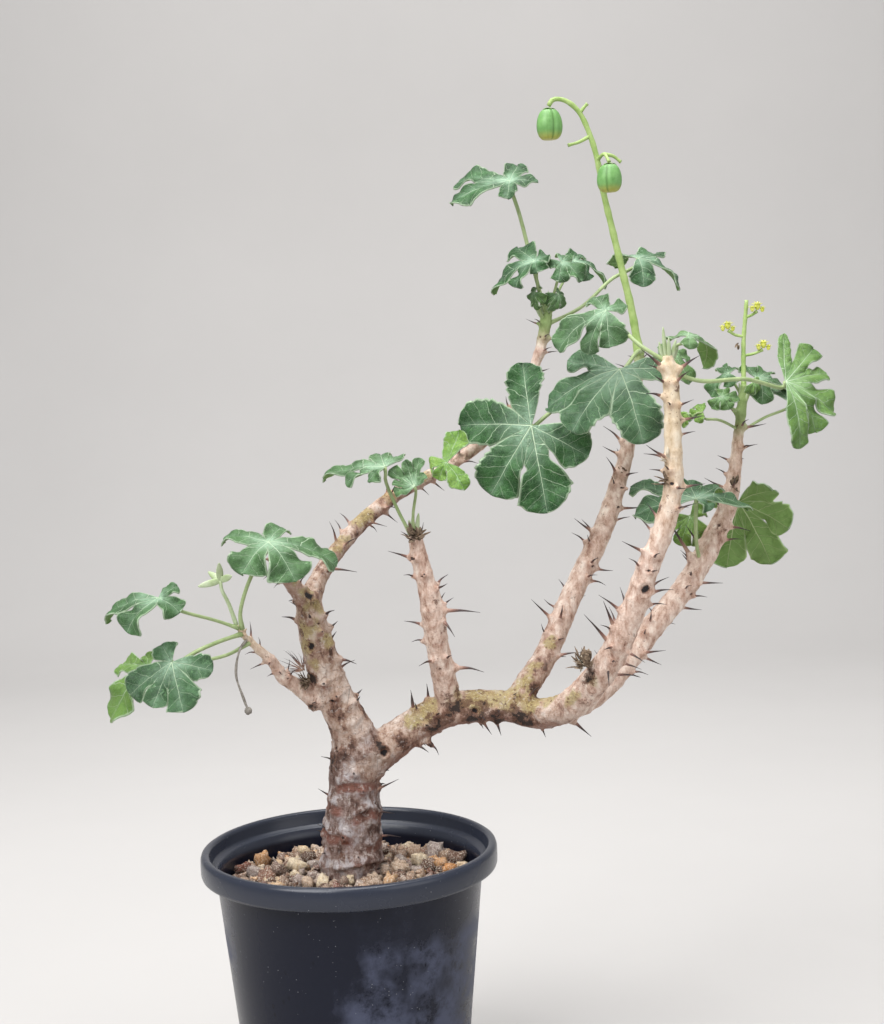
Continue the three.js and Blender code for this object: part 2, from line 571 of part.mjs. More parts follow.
// Pot: a closed shell turned about its axis, with round drain holes
function potSolid() {
  const inside = (height) => POT_BASE_RADIUS - POT_WALL
    + ((POT_SHOULDER_RADIUS - POT_BASE_RADIUS) * height) / POT_SHOULDER_HEIGHT;
  const profile = [
    [0, 0], [POT_BASE_RADIUS - 2, 0], [POT_BASE_RADIUS, 2],
    [POT_SHOULDER_RADIUS, POT_SHOULDER_HEIGHT], [POT_RIM_RADIUS, POT_SHOULDER_HEIGHT + 1.5],
    [POT_RIM_RADIUS, POT_HEIGHT - 1.6],
    [POT_RIM_RADIUS - 1.4, POT_HEIGHT], [POT_RIM_RADIUS - 3.6, POT_HEIGHT],
    [POT_RIM_RADIUS - 4.8, POT_HEIGHT - 1.6], [POT_RIM_RADIUS - 5.2, POT_HEIGHT - 7],
    [inside(POT_SHOULDER_HEIGHT) + 0.6, POT_HEIGHT - 8],
    [inside(POT_SHOULDER_HEIGHT), POT_SHOULDER_HEIGHT - 1],
    [inside(POT_FLOOR + 2), POT_FLOOR + 2], [inside(POT_FLOOR) - 2, POT_FLOOR], [0, POT_FLOOR],
  ].map(([x, y]) => new THREE.Vector2(x, y));
  const geometry = new THREE.LatheGeometry(profile, POT_SIDES);
  geometry.rotateX(Math.PI / 2);
  let pot = toSolid(geometry);
  for (let i = 0; i < DRAIN_COUNT; i += 1) {
    const angle = (2 * Math.PI * (i + 0.5)) / DRAIN_COUNT;
    const hole = new THREE.CylinderGeometry(DRAIN_RADIUS, DRAIN_RADIUS, 4 * POT_FLOOR, 8);
    hole.rotateX(Math.PI / 2);
    hole.translate(DRAIN_CIRCLE * Math.cos(angle), DRAIN_CIRCLE * Math.sin(angle), POT_FLOOR / 2);
    pot = pot.subtract(toSolid(hole));
  }
  return pot;
}

function moundHeight(radius) {
  const share = Math.max(0, 1 - radius / 62);
  return SUBSTRATE_EDGE_HEIGHT + SUBSTRATE_MOUND * share ** 1.3;
}

// Substrate: fills the pot, with a grainy mounded top, loose stones and a plain hole for the trunk
function substrateSolid(hole) {
  const slope = (POT_SHOULDER_RADIUS - POT_BASE_RADIUS) / POT_SHOULDER_HEIGHT;
  const fill = (height) => POT_BASE_RADIUS - POT_WALL - SEAT_GAP - 0.3 + slope * height;
  const bottom = POT_FLOOR + SEAT_GAP;
  const edge = fill(SUBSTRATE_EDGE_HEIGHT - 2);
  const profile = [[0, bottom], [fill(bottom) - 3, bottom], [fill(bottom + 4), bottom + 4],
    [edge, SUBSTRATE_EDGE_HEIGHT - 2]];
  for (const radius of [...GRAVEL_RINGS].reverse()) {
    profile.push([radius, moundHeight(radius)]);
  }
  profile.push([0, moundHeight(0)]);
  const rings = profile.map(([x, y]) => new THREE.Vector2(x, y));
  const geometry = new THREE.LatheGeometry(rings, SUBSTRATE_SECTORS);
  geometry.rotateX(Math.PI / 2);
  const position = geometry.attributes.position;
  for (let i = 0; i < position.count; i += 1) {
    const [x, y, z] = [position.getX(i), position.getY(i), position.getZ(i)];
    const radius = Math.hypot(x, y);
    if (z > SUBSTRATE_EDGE_HEIGHT - 1 && radius > 1) {
      const seed = Math.round(x * 10) * 0.37 + Math.round(y * 10) * 1.13;
      position.setZ(i, z + GRAVEL_RELIEF * (2 * scatter(seed) - 1));
    }
  }
  const stones = [];
  for (let i = 0; i < STONE_COUNT; i += 1) {
    const angle = i * GOLDEN_TURN;
    const reach = 19 + 39 * Math.sqrt((i + 0.5) / STONE_COUNT);
    const size = STONE_RADIUS[0] + (STONE_RADIUS[1] - STONE_RADIUS[0]) * scatter(i) ** 2;
    const stone = new THREE.IcosahedronGeometry(size, 0);
    stone.scale(1, 0.75 + 0.3 * scatter(i + 50), 0.7);
    stone.rotateX(scatter(i + 100) * 2);
    stone.rotateZ(scatter(i + 150) * 6);
    stone.translate(reach * Math.cos(angle), reach * Math.sin(angle), moundHeight(reach) + 0.3 * size);
    stones.push(toSolid(stone));
  }
  return unite([toSolid(geometry), ...stones]).subtract(hole);
}

function lobedCapsule({ at, radius, height, turn }) {
  const geometry = new THREE.SphereGeometry(1, 12, 7);
  const position = geometry.attributes.position;
  for (let i = 0; i < position.count; i += 1) {
    const [x, y, z] = [position.getX(i), position.getY(i), position.getZ(i)];
    const angle = Math.atan2(z, x) + turn;
    const lobes = 0.9 + 0.1 * Math.abs(Math.cos(1.5 * angle)) + 0.03 * Math.cos(6 * angle);
    const waist = 1 - 0.12 * y;
    position.setXYZ(i, x * radius * lobes * waist, -z * radius * lobes * waist, (y * height) / 2);
  }
  geometry.translate(at[0], at[1], at[2]);
  return toSolid(geometry);
}

// Small bloom: a cup with five pointed petals
function bloom(centre) {
  const parts = [];
  const core = new THREE.OctahedronGeometry(1.6, 0);
  core.scale(1, 1, 1.3);
  parts.push(toSolid(core));
  for (let i = 0; i < 5; i += 1) {
    const angle = (2 * Math.PI * i) / 5;
    const petal = new THREE.OctahedronGeometry(1, 0);
    petal.scale(2.2, 1.3, 0.6);
    petal.rotateY(-0.5);
    petal.translate(2.1, 0, 0.9);
    petal.rotateZ(angle);
    parts.push(toSolid(petal));
  }
  return unite(parts).translate(centre);
}

function shootSolid() {
  const stem = stalkTube(SHOOT_ROUTE.map(vec), 1, STALK_SIDES, 6);
  const top = vec(SHOOT_ROUTE[SHOOT_ROUTE.length - 1]);
  const leaflets = SHOOT_TIPS.map((tip, i) => {
    const direction = vec(tip).sub(top);
    const length = direction.length() + 2;
    const blade = new THREE.OctahedronGeometry(1, 0);
    blade.scale(2 + 0.4 * (i % 2), length / 2, 0.8);
    blade.translate(0, length / 2 - 1.5, 0);
    const turn = new THREE.Quaternion().setFromUnitVectors(
      new THREE.Vector3(0, 1, 0),
      direction.normalize(),
    );
    blade.applyQuaternion(turn);
    blade.translate(top.x, top.y, top.z);
    return toSolid(blade);
  });
  return unite([stem, ...leaflets]);
}

// Points spread over a solid, for keeping spines clear of it
function samplePoints(solid) {
  const { vertProperties, triVerts } = solid.getMesh();
  const samples = [];
  for (let i = 0; i < triVerts.length; i += 3) {
    const corners = [0, 1, 2].map((j) => new THREE.Vector3().fromArray(vertProperties, 3 * triVerts[i + j]));
    const middle = corners[0].clone().add(corners[1]).add(corners[2]).divideScalar(3);
    samples.push(middle);
    corners.forEach((corner, j) => {
      samples.push(corner, corner.clone().lerp(corners[(j + 1) % 3], 0.5), corner.clone().lerp(middle, 0.5));
    });
  }
  return samples;
}

const tubes = [];
const clearTubes = [];
for (const [name, route] of Object.entries(BRANCHES)) {
  const sides = BRANCH_SIDES[name] ?? SLIM_SIDES;
  tubes.push(woodTube(route, sides, WOOD_STEP));
  clearTubes.push(woodTube(route, sides, WOOD_STEP, SEAT_GAP + 0.05));
}
const clearance = unite(clearTubes);

const soft = [];
const addSoft = (name, solid, colour, roughness) => soft.push({ name, solid, colour, roughness });
Object.entries(LEAVES).forEach(([name, leaf], index) => {
  addSoft(name, leafSolid(name, leaf, index).subtract(clearance), COLOURS.leaf, 0.55);
});
addSoft('shoot_left', shootSolid().subtract(clearance), COLOURS.young, 0.6);
addSoft('dry_stalk', unite([
  stalkTube(DRY_STALK_ROUTE.map(vec), 0.9, STALK_SIDES, 7),
  toSolid(new THREE.IcosahedronGeometry(1.9, 0).translate(...DRY_STALK_ROUTE.at(-1))),
]).subtract(clearance), COLOURS.dry, 0.9);
addSoft('fruit_stalk', unite([
  stalkTube(FRUIT_STALK_ROUTE.map(vec), 2, 6, 18),
  ...FRUIT_STUBS.map((stub) => stalkTube(stub.map(vec), 0.9, STALK_SIDES, 2 * stub.length - 2)),
]).subtract(clearance), COLOURS.fruit, 0.55);
addSoft('flower_stalk', unite([
  stalkTube(FLOWER_STALK_ROUTE.map(vec), 1.5, 6, 8),
  ...PEDICELS.map((pedicel) => stalkTube(pedicel.map(vec), 0.7, STALK_SIDES, 1)),
]).subtract(clearance), COLOURS.fruit, 0.55);
for (const [name, capsule] of Object.entries(CAPSULES)) {
  addSoft(name, lobedCapsule(capsule), COLOURS.fruit, 0.5);
}
for (const [name, centre] of Object.entries(FLOWERS)) {
  addSoft(name, bloom(centre), COLOURS.flower, 0.6);
}

const keepClear = soft.flatMap(({ solid }) => samplePoints(solid));
const spines = [];
const spineList = Object.entries(SPINE_RULES).flatMap(([name, rule]) => spineRow(BRANCHES[name], rule));
for (const [root, tip] of MARKED_SPINES) {
  spineList.push({ root: vec(root), tip: vec(tip), radius: 1.2 });
}
for (const { root, tip, radius } of spineList) {
  const line = new THREE.Line3(root, tip);
  const nearest = new THREE.Vector3();
  const blocked = keepClear.some((point) => {
    line.closestPointToPoint(point, true, nearest);
    return nearest.distanceTo(point) < 2.4;
  });
  if (!blocked) {
    spines.push(spine(root, tip, radius, 3));
  }
}

const potted = new THREE.Group();
potted.add(toMesh('pot', potSolid(), COLOURS.pot, 0.4));
potted.add(toMesh('substrate', substrateSolid(clearTubes[0]), COLOURS.substrate, 0.95));
potted.add(toMesh('stem', unite([...tubes, ...spines]), COLOURS.wood, 0.8));
for (const { name, solid, colour, roughness } of soft) {
  potted.add(toMesh(name, solid, colour, roughness));
}

export default potted;
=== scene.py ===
"""Potted spiny jatropha: the looks of the plant, its gravel and its nursery pot.

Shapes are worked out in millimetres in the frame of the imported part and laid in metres.
"""
import json
import math
import random

import bmesh
import bpy
from bpy.props import FloatProperty, FloatVectorProperty, IntProperty, PointerProperty
from mathutils import Matrix, Vector, kdtree, noise

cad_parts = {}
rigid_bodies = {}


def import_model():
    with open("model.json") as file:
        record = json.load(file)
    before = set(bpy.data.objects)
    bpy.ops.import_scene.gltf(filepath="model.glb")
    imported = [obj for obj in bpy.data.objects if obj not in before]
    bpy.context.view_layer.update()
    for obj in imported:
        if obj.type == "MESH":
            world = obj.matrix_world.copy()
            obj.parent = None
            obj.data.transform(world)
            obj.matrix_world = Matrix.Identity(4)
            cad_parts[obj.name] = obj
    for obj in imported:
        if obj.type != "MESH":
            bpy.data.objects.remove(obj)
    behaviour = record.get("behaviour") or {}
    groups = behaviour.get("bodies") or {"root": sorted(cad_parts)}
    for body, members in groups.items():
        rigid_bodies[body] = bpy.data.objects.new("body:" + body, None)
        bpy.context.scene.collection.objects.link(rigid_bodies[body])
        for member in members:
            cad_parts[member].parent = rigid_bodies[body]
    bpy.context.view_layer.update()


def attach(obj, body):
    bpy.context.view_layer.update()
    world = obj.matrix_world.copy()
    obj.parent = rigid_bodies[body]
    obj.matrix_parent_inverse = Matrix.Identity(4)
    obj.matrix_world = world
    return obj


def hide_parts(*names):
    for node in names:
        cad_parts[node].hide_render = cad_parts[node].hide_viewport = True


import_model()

bl_info = {
    "name": "Potted Spiny Jatropha",
    "version": (1, 0, 0),
    "blender": (4, 5, 0),
    "location": "View3D > Sidebar > Plant",
    "description": "Builds a potted spiny jatropha over its packed frame",
    "category": "Add Mesh",
}

MM = 0.001
BODY = "root"
GOLDEN_TURN = 2.39996  # radians from each pair of spines to the next
NODE_STEP = 17.0  # millimetres along a branch from each pair of spines to the next
RING_STEPS = 60  # places along a branch where spines and scars can sit

# Routes of the wood as (x, y, z, radius) in millimetres, from the parent branch outwards
BRANCHES = {
    "trunk": [
        (0, 0, 80, 12.5), (-0.5, 0, 98, 14), (-1, 0, 111, 14.5), (0.5, 0, 127.5, 15.5), (2, 0, 142, 15),
        (3, 0, 156.5, 14.5), (3.5, 0, 170, 13), (5.5, 0, 183, 14), (8.5, 0, 192, 14),
    ],
    "left": [
        (8, 0, 188, 12.5), (3, -2, 200, 11), (-3, -4, 214.5, 9.7), (-8, -6, 229.5, 9.1),
        (-11.5, -7, 243.5, 8.6), (-14, -7, 257, 7.7), (-15.5, -7, 270, 6.5),
    ],
    "left_twig": [
        (-12, -5, 212, 4.6), (-22.5, -9, 223.5, 4.2), (-28.5, -13, 228.5, 3.9), (-33, -18, 237.5, 3.2),
        (-39.5, -24, 245.5, 2.7), (-45.5, -30, 253.5, 2), (-48, -34, 259, 1.5),
    ],
    "left_stub": [
        (-14, -7, 262, 5.4), (-22, -14, 275, 4.2), (-27, -19, 283, 3.4), (-31.5, -23, 290.5, 2),
    ],
    "back": [
        (-15, -5, 264, 6.2), (-9.5, 4, 277, 4.9), (1, 14, 290.5, 4.6), (13.5, 24, 303, 4.5),
        (27.5, 32, 313, 4.1), (46, 40, 322.5, 3.9), (64.5, 46, 332, 3.7), (82, 52, 344.5, 3.4),
        (96, 56, 361, 3.3), (105, 59, 378.5, 3.2), (110, 61, 394.5, 3.5), (112.5, 62, 407, 3.4),
    ],
    "right": [
        (8, 0, 181.5, 11.5), (19, 2, 188, 10), (29, 4, 194.5, 9.5), (40.5, 5, 201, 9.3),
        (53.5, 6, 206, 8.8), (67.5, 7, 207, 8.8), (82, 7, 206.5, 8.3), (96, 6, 202.5, 8),
        (106, 3, 202.5, 7.8),
    ],
    "middle": [
        (53.5, 4, 207, 6.8), (52, 1, 217, 6.7), (50, -3, 230.5, 6.4), (48, -6, 243.5, 6.2),
        (46.5, -9, 258, 6.5), (44.5, -11, 270.5, 5.4), (41.5, -13, 284, 4.9), (39, -15, 297.5, 3.6),
    ],
    "fruiting": [
        (86, 7, 206.5, 7.5), (93.5, 12, 216.5, 7.1), (102, 17, 227.5, 6.6), (109.5, 22, 241, 6.4),
        (117, 27, 256, 6.2), (125.5, 31, 272, 5.9), (134, 34, 287, 5.7), (140, 36, 301, 5.5),
        (145, 38, 315, 4.9), (150.5, 39, 332, 4.2), (154.5, 39, 351, 3.4), (157, 38, 369, 3.1),
        (158.5, 37, 386, 2.8),
    ],
    "front": [
        (98, 3, 203, 7.8), (108, -1, 205, 8.1), (116, -6, 210, 8.2), (125.5, -14, 221.5, 7.8),
        (134, -20, 235.5, 7.3), (140.5, -25, 249.5, 6.8), (146, -29, 264.5, 6.5), (151, -32, 279.5, 6),
        (157, -34, 293.5, 5.7), (161.5, -35, 308, 5.5), (164, -36, 322.5, 5), (164, -36, 338, 4.8),
        (164, -35, 357, 4.5), (163.5, -34, 374, 4.2), (162.5, -34, 381, 2.6),
    ],
    "rear": [
        (100, 5, 203, 7.6), (110, 11, 202.5, 7.4), (120.5, 16, 205, 7.1), (134.5, 24, 212, 6.7),
        (148.5, 31, 225.5, 6.5), (161, 36, 239.5, 6.5), (174.5, 40, 254, 6.5), (187, 43, 270, 6.5),
        (196.5, 45, 286.5, 6.3), (204, 46, 302, 5.3), (208, 47, 320, 3.9), (210, 47, 336, 3.4),
        (212, 47, 350.5, 3.2), (213.5, 47, 365, 2.6),
    ],
}
# How old the bark looks at the start and the end of each branch, and where its green tip begins
BARK_AGE = {
    "trunk": (1.0, 0.96, 2.0), "left": (0.93, 0.72, 2.0), "left_twig": (0.62, 0.0, 0.96),
    "left_stub": (0.72, 0.66, 2.0), "back": (0.84, 0.42, 0.9), "right": (0.86, 0.72, 2.0),
    "middle": (0.6, 0.34, 2.0), "fruiting": (0.74, 0.2, 0.92), "front": (0.7, -0.1, 2.0),
    "rear": (0.64, 0.15, 0.86),
}

# Spines by rule: first and last share of the branch, shortest and longest spine, root radius
SPINE_RULES = {
    "trunk": (0.36, 0.95, 3, 5, 1.8),
    "left": (0.2, 0.95, 4, 8, 1.5),
    "left_twig": (0.25, 0.9, 5, 8, 0.8),
    "left_stub": (0.25, 0.95, 4, 7, 0.8),
    "back": (0.12, 0.97, 7, 12, 0.9),
    "right": (0.2, 0.93, 5, 9, 1.3),
    "middle": (0.22, 0.98, 7, 12, 1.1),
    "fruiting": (0.12, 0.97, 8, 13, 1.1),
    "front": (0.18, 0.97, 8, 14, 1.1),
    "rear": (0.18, 0.93, 8, 13, 1.1),
}
# Spines that stand out in the photo: root and tip
MARKED_SPINES = [
    ((133, -23, 241), (120, -27, 257)), ((132, -21, 233), (131, -30, 222)),
    ((134.5, -26, 250), (129, -33, 264)), ((52, -11, 259), (70, -15, 258)),
    ((51, -11, 255), (57, -19, 247)), ((57, -4, 229), (71, -8, 227)), ((116, 11, 197), (125, 8, 189)),
    ((35, 2, 206), (34, -1, 218)), ((182, 40, 277), (169, 34, 298)), ((160, -36, 375), (149, -41, 384)),
    ((168, -35, 374), (177, -40, 380)), ((160, -37, 361), (151, -40, 363)), ((-1, -8, 236), (8, -12, 234)),
    ((-20, -9, 256), (-28, -13, 259)),
]

# Slender spines and side stubs seen on single places
SLENDER_SPINES = [
    ((14, -4, 168), (26.5, -3, 173.2)), ((13, -5, 157.5), (23.9, -4, 155.8)),
    ((14, -4, 144.5), (26.5, -3, 143.4)), ((-7, -5, 165.5), (-14.4, -4, 170)),
    ((-8, -5, 148.5), (-15.7, -3, 151.6)), ((-4, -5, 183), (-12.2, -4, 186.3)),
    ((-2, -7, 230.5), (6.9, -6, 235)), ((-4, -3, 281), (9.5, -3, 278.8)),
    ((42.5, 0, 190), (47.1, -2, 184.5)), ((35, 4, 206), (34, 4, 214.4)), ((70, 2, 200), (74, -2, 194)),
    ((-16, -9, 262), (-24, -10, 266)),
]
# Thin dead spines in a tuft: root region, direction, count
TUFT = ((-20, -10, 233), (-0.65, -0.35, 0.6), 18)

# Ridges round the trunk: height, direction it faces in degrees, half its span, size
TRUNK_RIDGES = [
    (174, -60, 85, 1.6), (164, -150, 50, 1.1), (158.5, -35, 62, 1.8), (149.5, -140, 62, 1.8),
    (144, -20, 50, 1.4), (132, -90, 180, 2.3), (168, 110, 80, 1.3), (154, 80, 70, 1.5), (141, 130, 80, 1.5),
]

# Dark wounds and scars on the bark, broad dark stains, and patches of moss: centre and radius
SCARS = [
    ((-13, -14, 270), 3.4), ((-14, -14, 244), 2.6), ((-5, -14, 216), 1.6), ((27, -5, 190), 1.5),
    ((149.5, -36, 269), 2.8), ((162, -40, 320), 1.8), ((92, -3, 202), 1.6), ((198, 40, 292), 1.4),
    ((-1, -12, 203), 1.2), ((43, -14, 262), 1.1), ((49, -9, 229), 0.9), ((66, -3, 206), 2.4),
    ((-9, -14, 255), 1.2), ((-11, -14, 261), 0.9), ((2, -11, 207), 1.0), ((150, -37, 252), 1.4),
    ((20, -8, 188), 2.2), ((-10, -14, 236), 0.9), ((-4, -14, 226), 1.0), ((7, -12, 222), 0.8),
]
STAINS = [
    ((56, -4, 209), 10), ((66, -3, 202), 10), ((78, -3, 199), 9), ((90, -2, 199), 8), ((46, -4, 200), 7),
    ((-16, -9, 212), 4), ((-13, -10, 204), 5), ((-21, -8, 266), 3.5), ((-20, -9, 250), 3.5),
    ((-15, -8, 196), 4), ((-8, -6, 184), 5), ((30, -6, 186), 4), ((72, -4, 210), 4), ((85, -3, 208), 4),
    ((-15, -12, 228), 4), ((-9, -8, 197), 4), ((17, -9, 190), 5), ((121, -21, 226), 5), ((116, 11, 200), 4),
    ((44, -3, 191), 5), ((-3, -8, 279), 4),
]
MOSS = [
    ((42, -1, 207), 10), ((54, 0, 212), 9), ((68, 0, 214), 10), ((82, 0, 213), 10), ((95, 1, 209), 8),
    ((-17, -13, 268), 7), ((-9, -13, 263), 5), ((-14, -14, 254), 7), ((-6, -12, 246), 5),
    ((-16, -12, 243), 6), ((-14, -13, 234), 5), ((-24, -18, 279), 7), ((117, -14, 213), 8),
    ((126, -22, 222), 6), ((103, 1, 209), 8), ((92, 5, 219), 5), ((97, 8, 227), 5), ((106, 12, 238), 5),
    ((36, -3, 203), 7), ((74, 0, 214), 8), ((1, 11, 291), 7), ((13, 21, 304), 7), ((27, 29, 314), 7),
    ((44, 37, 323), 6),
]

# Leaves: hub where the lobes meet, facing direction, stalk from the stem to below the hub,
# lobes as (direction in degrees, length, half width, droop in degrees), stalk radius,
# bloom (0 deep green to 1 waxy pale) and youth (0 grown to 1 yellow-green)
LEAVES = {
    "leaf_left_1": (
        (-30, -42, 299), (0.05, -0.45, 0.9),
        [(-45.3, -32.5, 256.5), (-45.6, -35.2, 264), (-42.4, -38, 275), (-36.5, -42, 287)],
        [(3, 36, 9.5, 50), (73, 16, 6.5, 10), (148, 28, 7, 35), (239, 22.5, 10, 32), (306, 26, 11.5, 45)],
        1.1, 0.45, 0.1),
    "leaf_left_2": (
        (-81.5, -52, 275.5), (-0.15, -0.52, 0.85),
        [(-47, -33, 257), (-57, -39, 262), (-70, -50, 268)],
        [(36, 10.5, 4.5, 0), (165, 34.5, 8, 50), (215, 22, 8.5, 45), (321, 13.5, 7, 40)],
        0.95, 0.35, 0.05),
    "leaf_left_3": (
        (-76, -56, 245.5), (-0.05, -0.8, 0.6),
        [(-45.5, -31, 254), (-56, -42, 252), (-65.5, -51, 249)],
        [(120, 10.5, 6.5, 0), (214, 24.5, 9, 25), (248, 23, 8, 20), (284, 25.5, 11, 15),
         (347, 19.5, 7, 20)],
        1.15, 0.55, 0),
    "leaf_left_4": (
        (-90, -38, 240), (-0.35, -0.55, 0.75),
        [(-42.5, -28, 249), (-53, -31, 244), (-67, -34, 241.5)],
        [(108, 11, 5, 10), (142, 27.5, 7, 30), (211, 31.5, 11, 45)],
        1, 0.2, 0.6),
    "leaf_middle_1": (
        (26, -26, 332), (-0.1, -0.4, 0.92),
        [(37, -16, 298), (31, -17.5, 311), (26, -20.5, 325)],
        [(66, 17, 5, 20), (98, 24, 6, 25), (155, 36.5, 8, 32), (184, 21, 6, 35), (216, 11, 6, 50)],
        0.95, 0.5, 0.1),
    "leaf_middle_2": (
        (40, -28, 322), (-0.2, -0.8, 0.6),
        [(39, -16, 298), (38.7, -19, 307)],
        [(51, 8, 3, -10), (79, 15.5, 4, -10), (104, 15, 3, -20), (138, 15.5, 5, -20), (162, 11, 3.5, -10),
         (186, 10, 4, 10)],
        0.85, 0.4, 0.15),
    "leaf_fruiting_1": (
        (100, 22, 348), (-0.12, -0.9, 0.35),
        [(155, 38, 359), (137, 34, 361), (115, 28, 357)],
        [(95, 36, 9.5, 10), (171, 39, 13.5, 25), (236, 41, 14, 15), (277, 46, 14, 15), (328, 33, 12, 15)],
        1.2, 0.12, 0),
    "leaf_fruiting_2": (
        (143, -4, 375), (-0.05, -0.68, 0.74),
        [(158.5, 37, 384), (154, 18, 383)],
        [(0, 32.5, 10, 15), (160, 26.5, 8.5, 5), (190, 42, 11, 52), (227, 41, 12, 40),
         (281, 42.5, 12.5, 40)],
        1.2, 0.6, 0),
    "leaf_front_1": (
        (135.8, -16, 403.5), (-0.1, -0.62, 0.8),
        [(163, -34, 377), (150, -30, 386), (143, -22, 394)],
        [(10, 10.5, 5, 0), (110, 12, 6, 0), (203, 31, 10, 50), (236, 24.5, 5.5, 68), (268, 21, 9, 45)],
        1.1, 0.55, 0.1),
    "leaf_front_2": (
        (223.5, -10, 366), (0.12, -0.62, 0.76),
        [(163.5, -34, 373), (178, -32, 368), (201, -24, 368)],
        [(26, 26, 7, 10), (53, 29, 9, -15), (83, 34.5, 3.4, -10), (284, 36, 6.5, 70), (307, 30, 9.5, 60),
         (340, 29.5, 9, 45)],
        1.15, 0.3, 0.5),
    "leaf_front_3": (
        (173, -32, 389.5), (0.15, -0.5, 0.85),
        [(163, -34, 378), (167, -33, 385)],
        [(36, 31.5, 5.5, 105), (139, 11.5, 4, 70), (269, 7.5, 4, 50)],
        0.85, 0.5, 0.25),
    "leaf_front_4": (
        (167, -10, 383), (0.1, -0.6, 0.8),
        [(163.5, -33, 370), (162.5, -21, 375)],
        [(158, 6, 4, 0), (304, 19.5, 5.5, 60), (340, 10.5, 5, 35)],
        0.85, 0.45, 0.3),
    "leaf_back_1": (
        (95, 66, 477), (-0.1, -0.52, 0.85),
        [(112, 62, 405), (105.7, 71, 434), (99.8, 71.5, 460)],
        [(73, 18.5, 6.5, 0), (145, 34.5, 11, 20), (180, 34, 10.5, 32), (261, 14, 5, 35), (347, 15, 5, 10)],
        1.2, 0.25, 0),
    "leaf_back_2": (
        (106, 48, 433), (-0.25, -0.48, 0.85),
        [(112, 62, 403), (107, 52, 422)],
        [(20, 8, 6, 10), (112, 21.5, 8.5, 0), (171, 30, 9, 60), (208, 17.5, 8, 60), (270, 8, 6, 50)],
        0.85, 0.2, 0),
    "leaf_back_3": (
        (120, 50, 432), (0.1, -0.52, 0.85),
        [(112.5, 62, 404), (117, 53, 420)],
        [(72, 11, 5, 20), (215, 7, 5, 30), (261, 13, 7, 50), (323, 15, 7, 50)],
        0.85, 0.3, 0.05),
    "leaf_back_4": (
        (128.5, 76, 434.5), (0.2, -0.45, 0.88),
        [(112.5, 62, 403), (121, 70, 421)],
        [(6, 25, 9, 65), (70, 10, 6, 5), (248, 8.5, 5, 40), (322, 14, 6.5, 60)],
        0.85, 0.2, 0),
    "leaf_back_5": (
        (164, 82, 435), (0.1, -0.3, 0.93),
        [(111.5, 61.5, 400), (131, 66, 409), (149, 76, 424)],
        [(4, 31, 9, 70), (59, 26, 8, 10), (114, 26, 7, 50), (278, 21, 7, 70)],
        1.1, 0.35, 0),
    "leaf_back_6": (
        (56, 16, 331), (-0.1, -0.6, 0.75),
        [(52, 42, 325), (53, 26, 324)],
        [(68, 21, 6.5, -20), (176, 9.5, 7, 60), (238, 10, 6, 60), (296, 19, 5.5, 30)],
        0.85, 0.15, 0.85),
    "leaf_rear_1": (
        (182.5, 16, 308), (-0.02, -0.42, 0.9),
        [(188, 43, 272), (184.5, 32, 284), (183, 22, 300)],
        [(17, 33.5, 9, 45), (46, 20, 7, 10), (94, 18.5, 8, 0), (142, 39, 8, 15), (180, 33, 10, 30),
         (328, 9.5, 6, 50)],
        1.15, 0.45, 0),
    "leaf_rear_2": (
        (213, 66, 302), (0.15, 0.75, 0.6),
        [(198, 45, 289), (203, 56, 291), (210, 61, 297)],
        [(20, 31, 11, 30), (58, 42, 13, 35), (94, 41, 12, 35), (193, 19.5, 8, 20), (318, 23.5, 8, 30)],
        1.15, 0.25, 0.25),
    "leaf_rear_3": (
        (185, 55, 296), (0, -0.8, 0.5),
        [(188, 43.5, 272), (189, 58, 279), (187, 61, 288)],
        [(30, 9, 5, 0), (205, 14, 7, 20), (248, 17, 6, 30), (290, 17, 6.5, 30)],
        0.85, 0.15, 0.75),
    "leaf_rear_4": (
        (206, 48, 371), (-0.25, -0.45, 0.9),
        [(213, 47, 357), (209, 47, 365)],
        [(64, 6, 4, 10), (100, 9.5, 5, 10), (206, 15.5, 6, 65), (257, 8.5, 5, 60)],
        0.85, 0.2, 0.1),
    "leaf_rear_5": (
        (222, 52, 368), (0.2, -0.45, 0.9),
        [(213, 47, 356), (219, 50, 363)],
        [(30, 26, 6, 50), (58, 18, 6, 15), (109, 13, 6, 0), (281, 16, 6, 70)],
        0.85, 0.1, 0.1),
    "leaf_rear_6": (
        (200, 36, 359), (-0.2, -0.6, 0.7),
        [(212, 47, 350), (204, 39, 354)],
        [(71, 6, 4, 10), (211, 8, 4, 50), (291, 8, 4, 50), (350, 9, 4, 40)],
        0.85, 0.2, 0.3),
    "leaf_rear_7": (
        (190, 38, 351), (-0.2, -0.5, 0.8),
        [(211, 47, 341), (199, 41, 347)],
        [(94, 9, 3.5, 10), (161, 10.5, 4.5, 40), (240, 6, 3, 50)],
        0.85, 0.15, 0.9),
    "leaf_rear_8": (
        (240, 58, 355), (0.1, -0.5, 0.8),
        [(211, 47, 340), (225, 52, 347)],
        [(60, 14, 5, 0), (104, 25, 6, 40), (284, 9, 5, 50)],
        0.85, 0.15, 0.1),
}
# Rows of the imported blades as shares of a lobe's length, for lobes longer and shorter than SMALL_LOBE
LARGE_ROWS = (0.34, 0.56, 0.78, 0.93)
SMALL_ROWS = (0.36, 0.62, 0.87)
SMALL_LOBE = 23
# Web between two lobes: its reach as a share of the shorter lobe, what a narrow gap adds to it,
# the share of a lobe's grid that it takes, and the gaps in degrees that are wide or left open
WEB_REACH, WEB_MORE = 0.36, 0.3
WEB_VIEW = 0.27
WIDE_GAP, OPEN_GAP = 75, 100
VEIN_STEP = 6.0

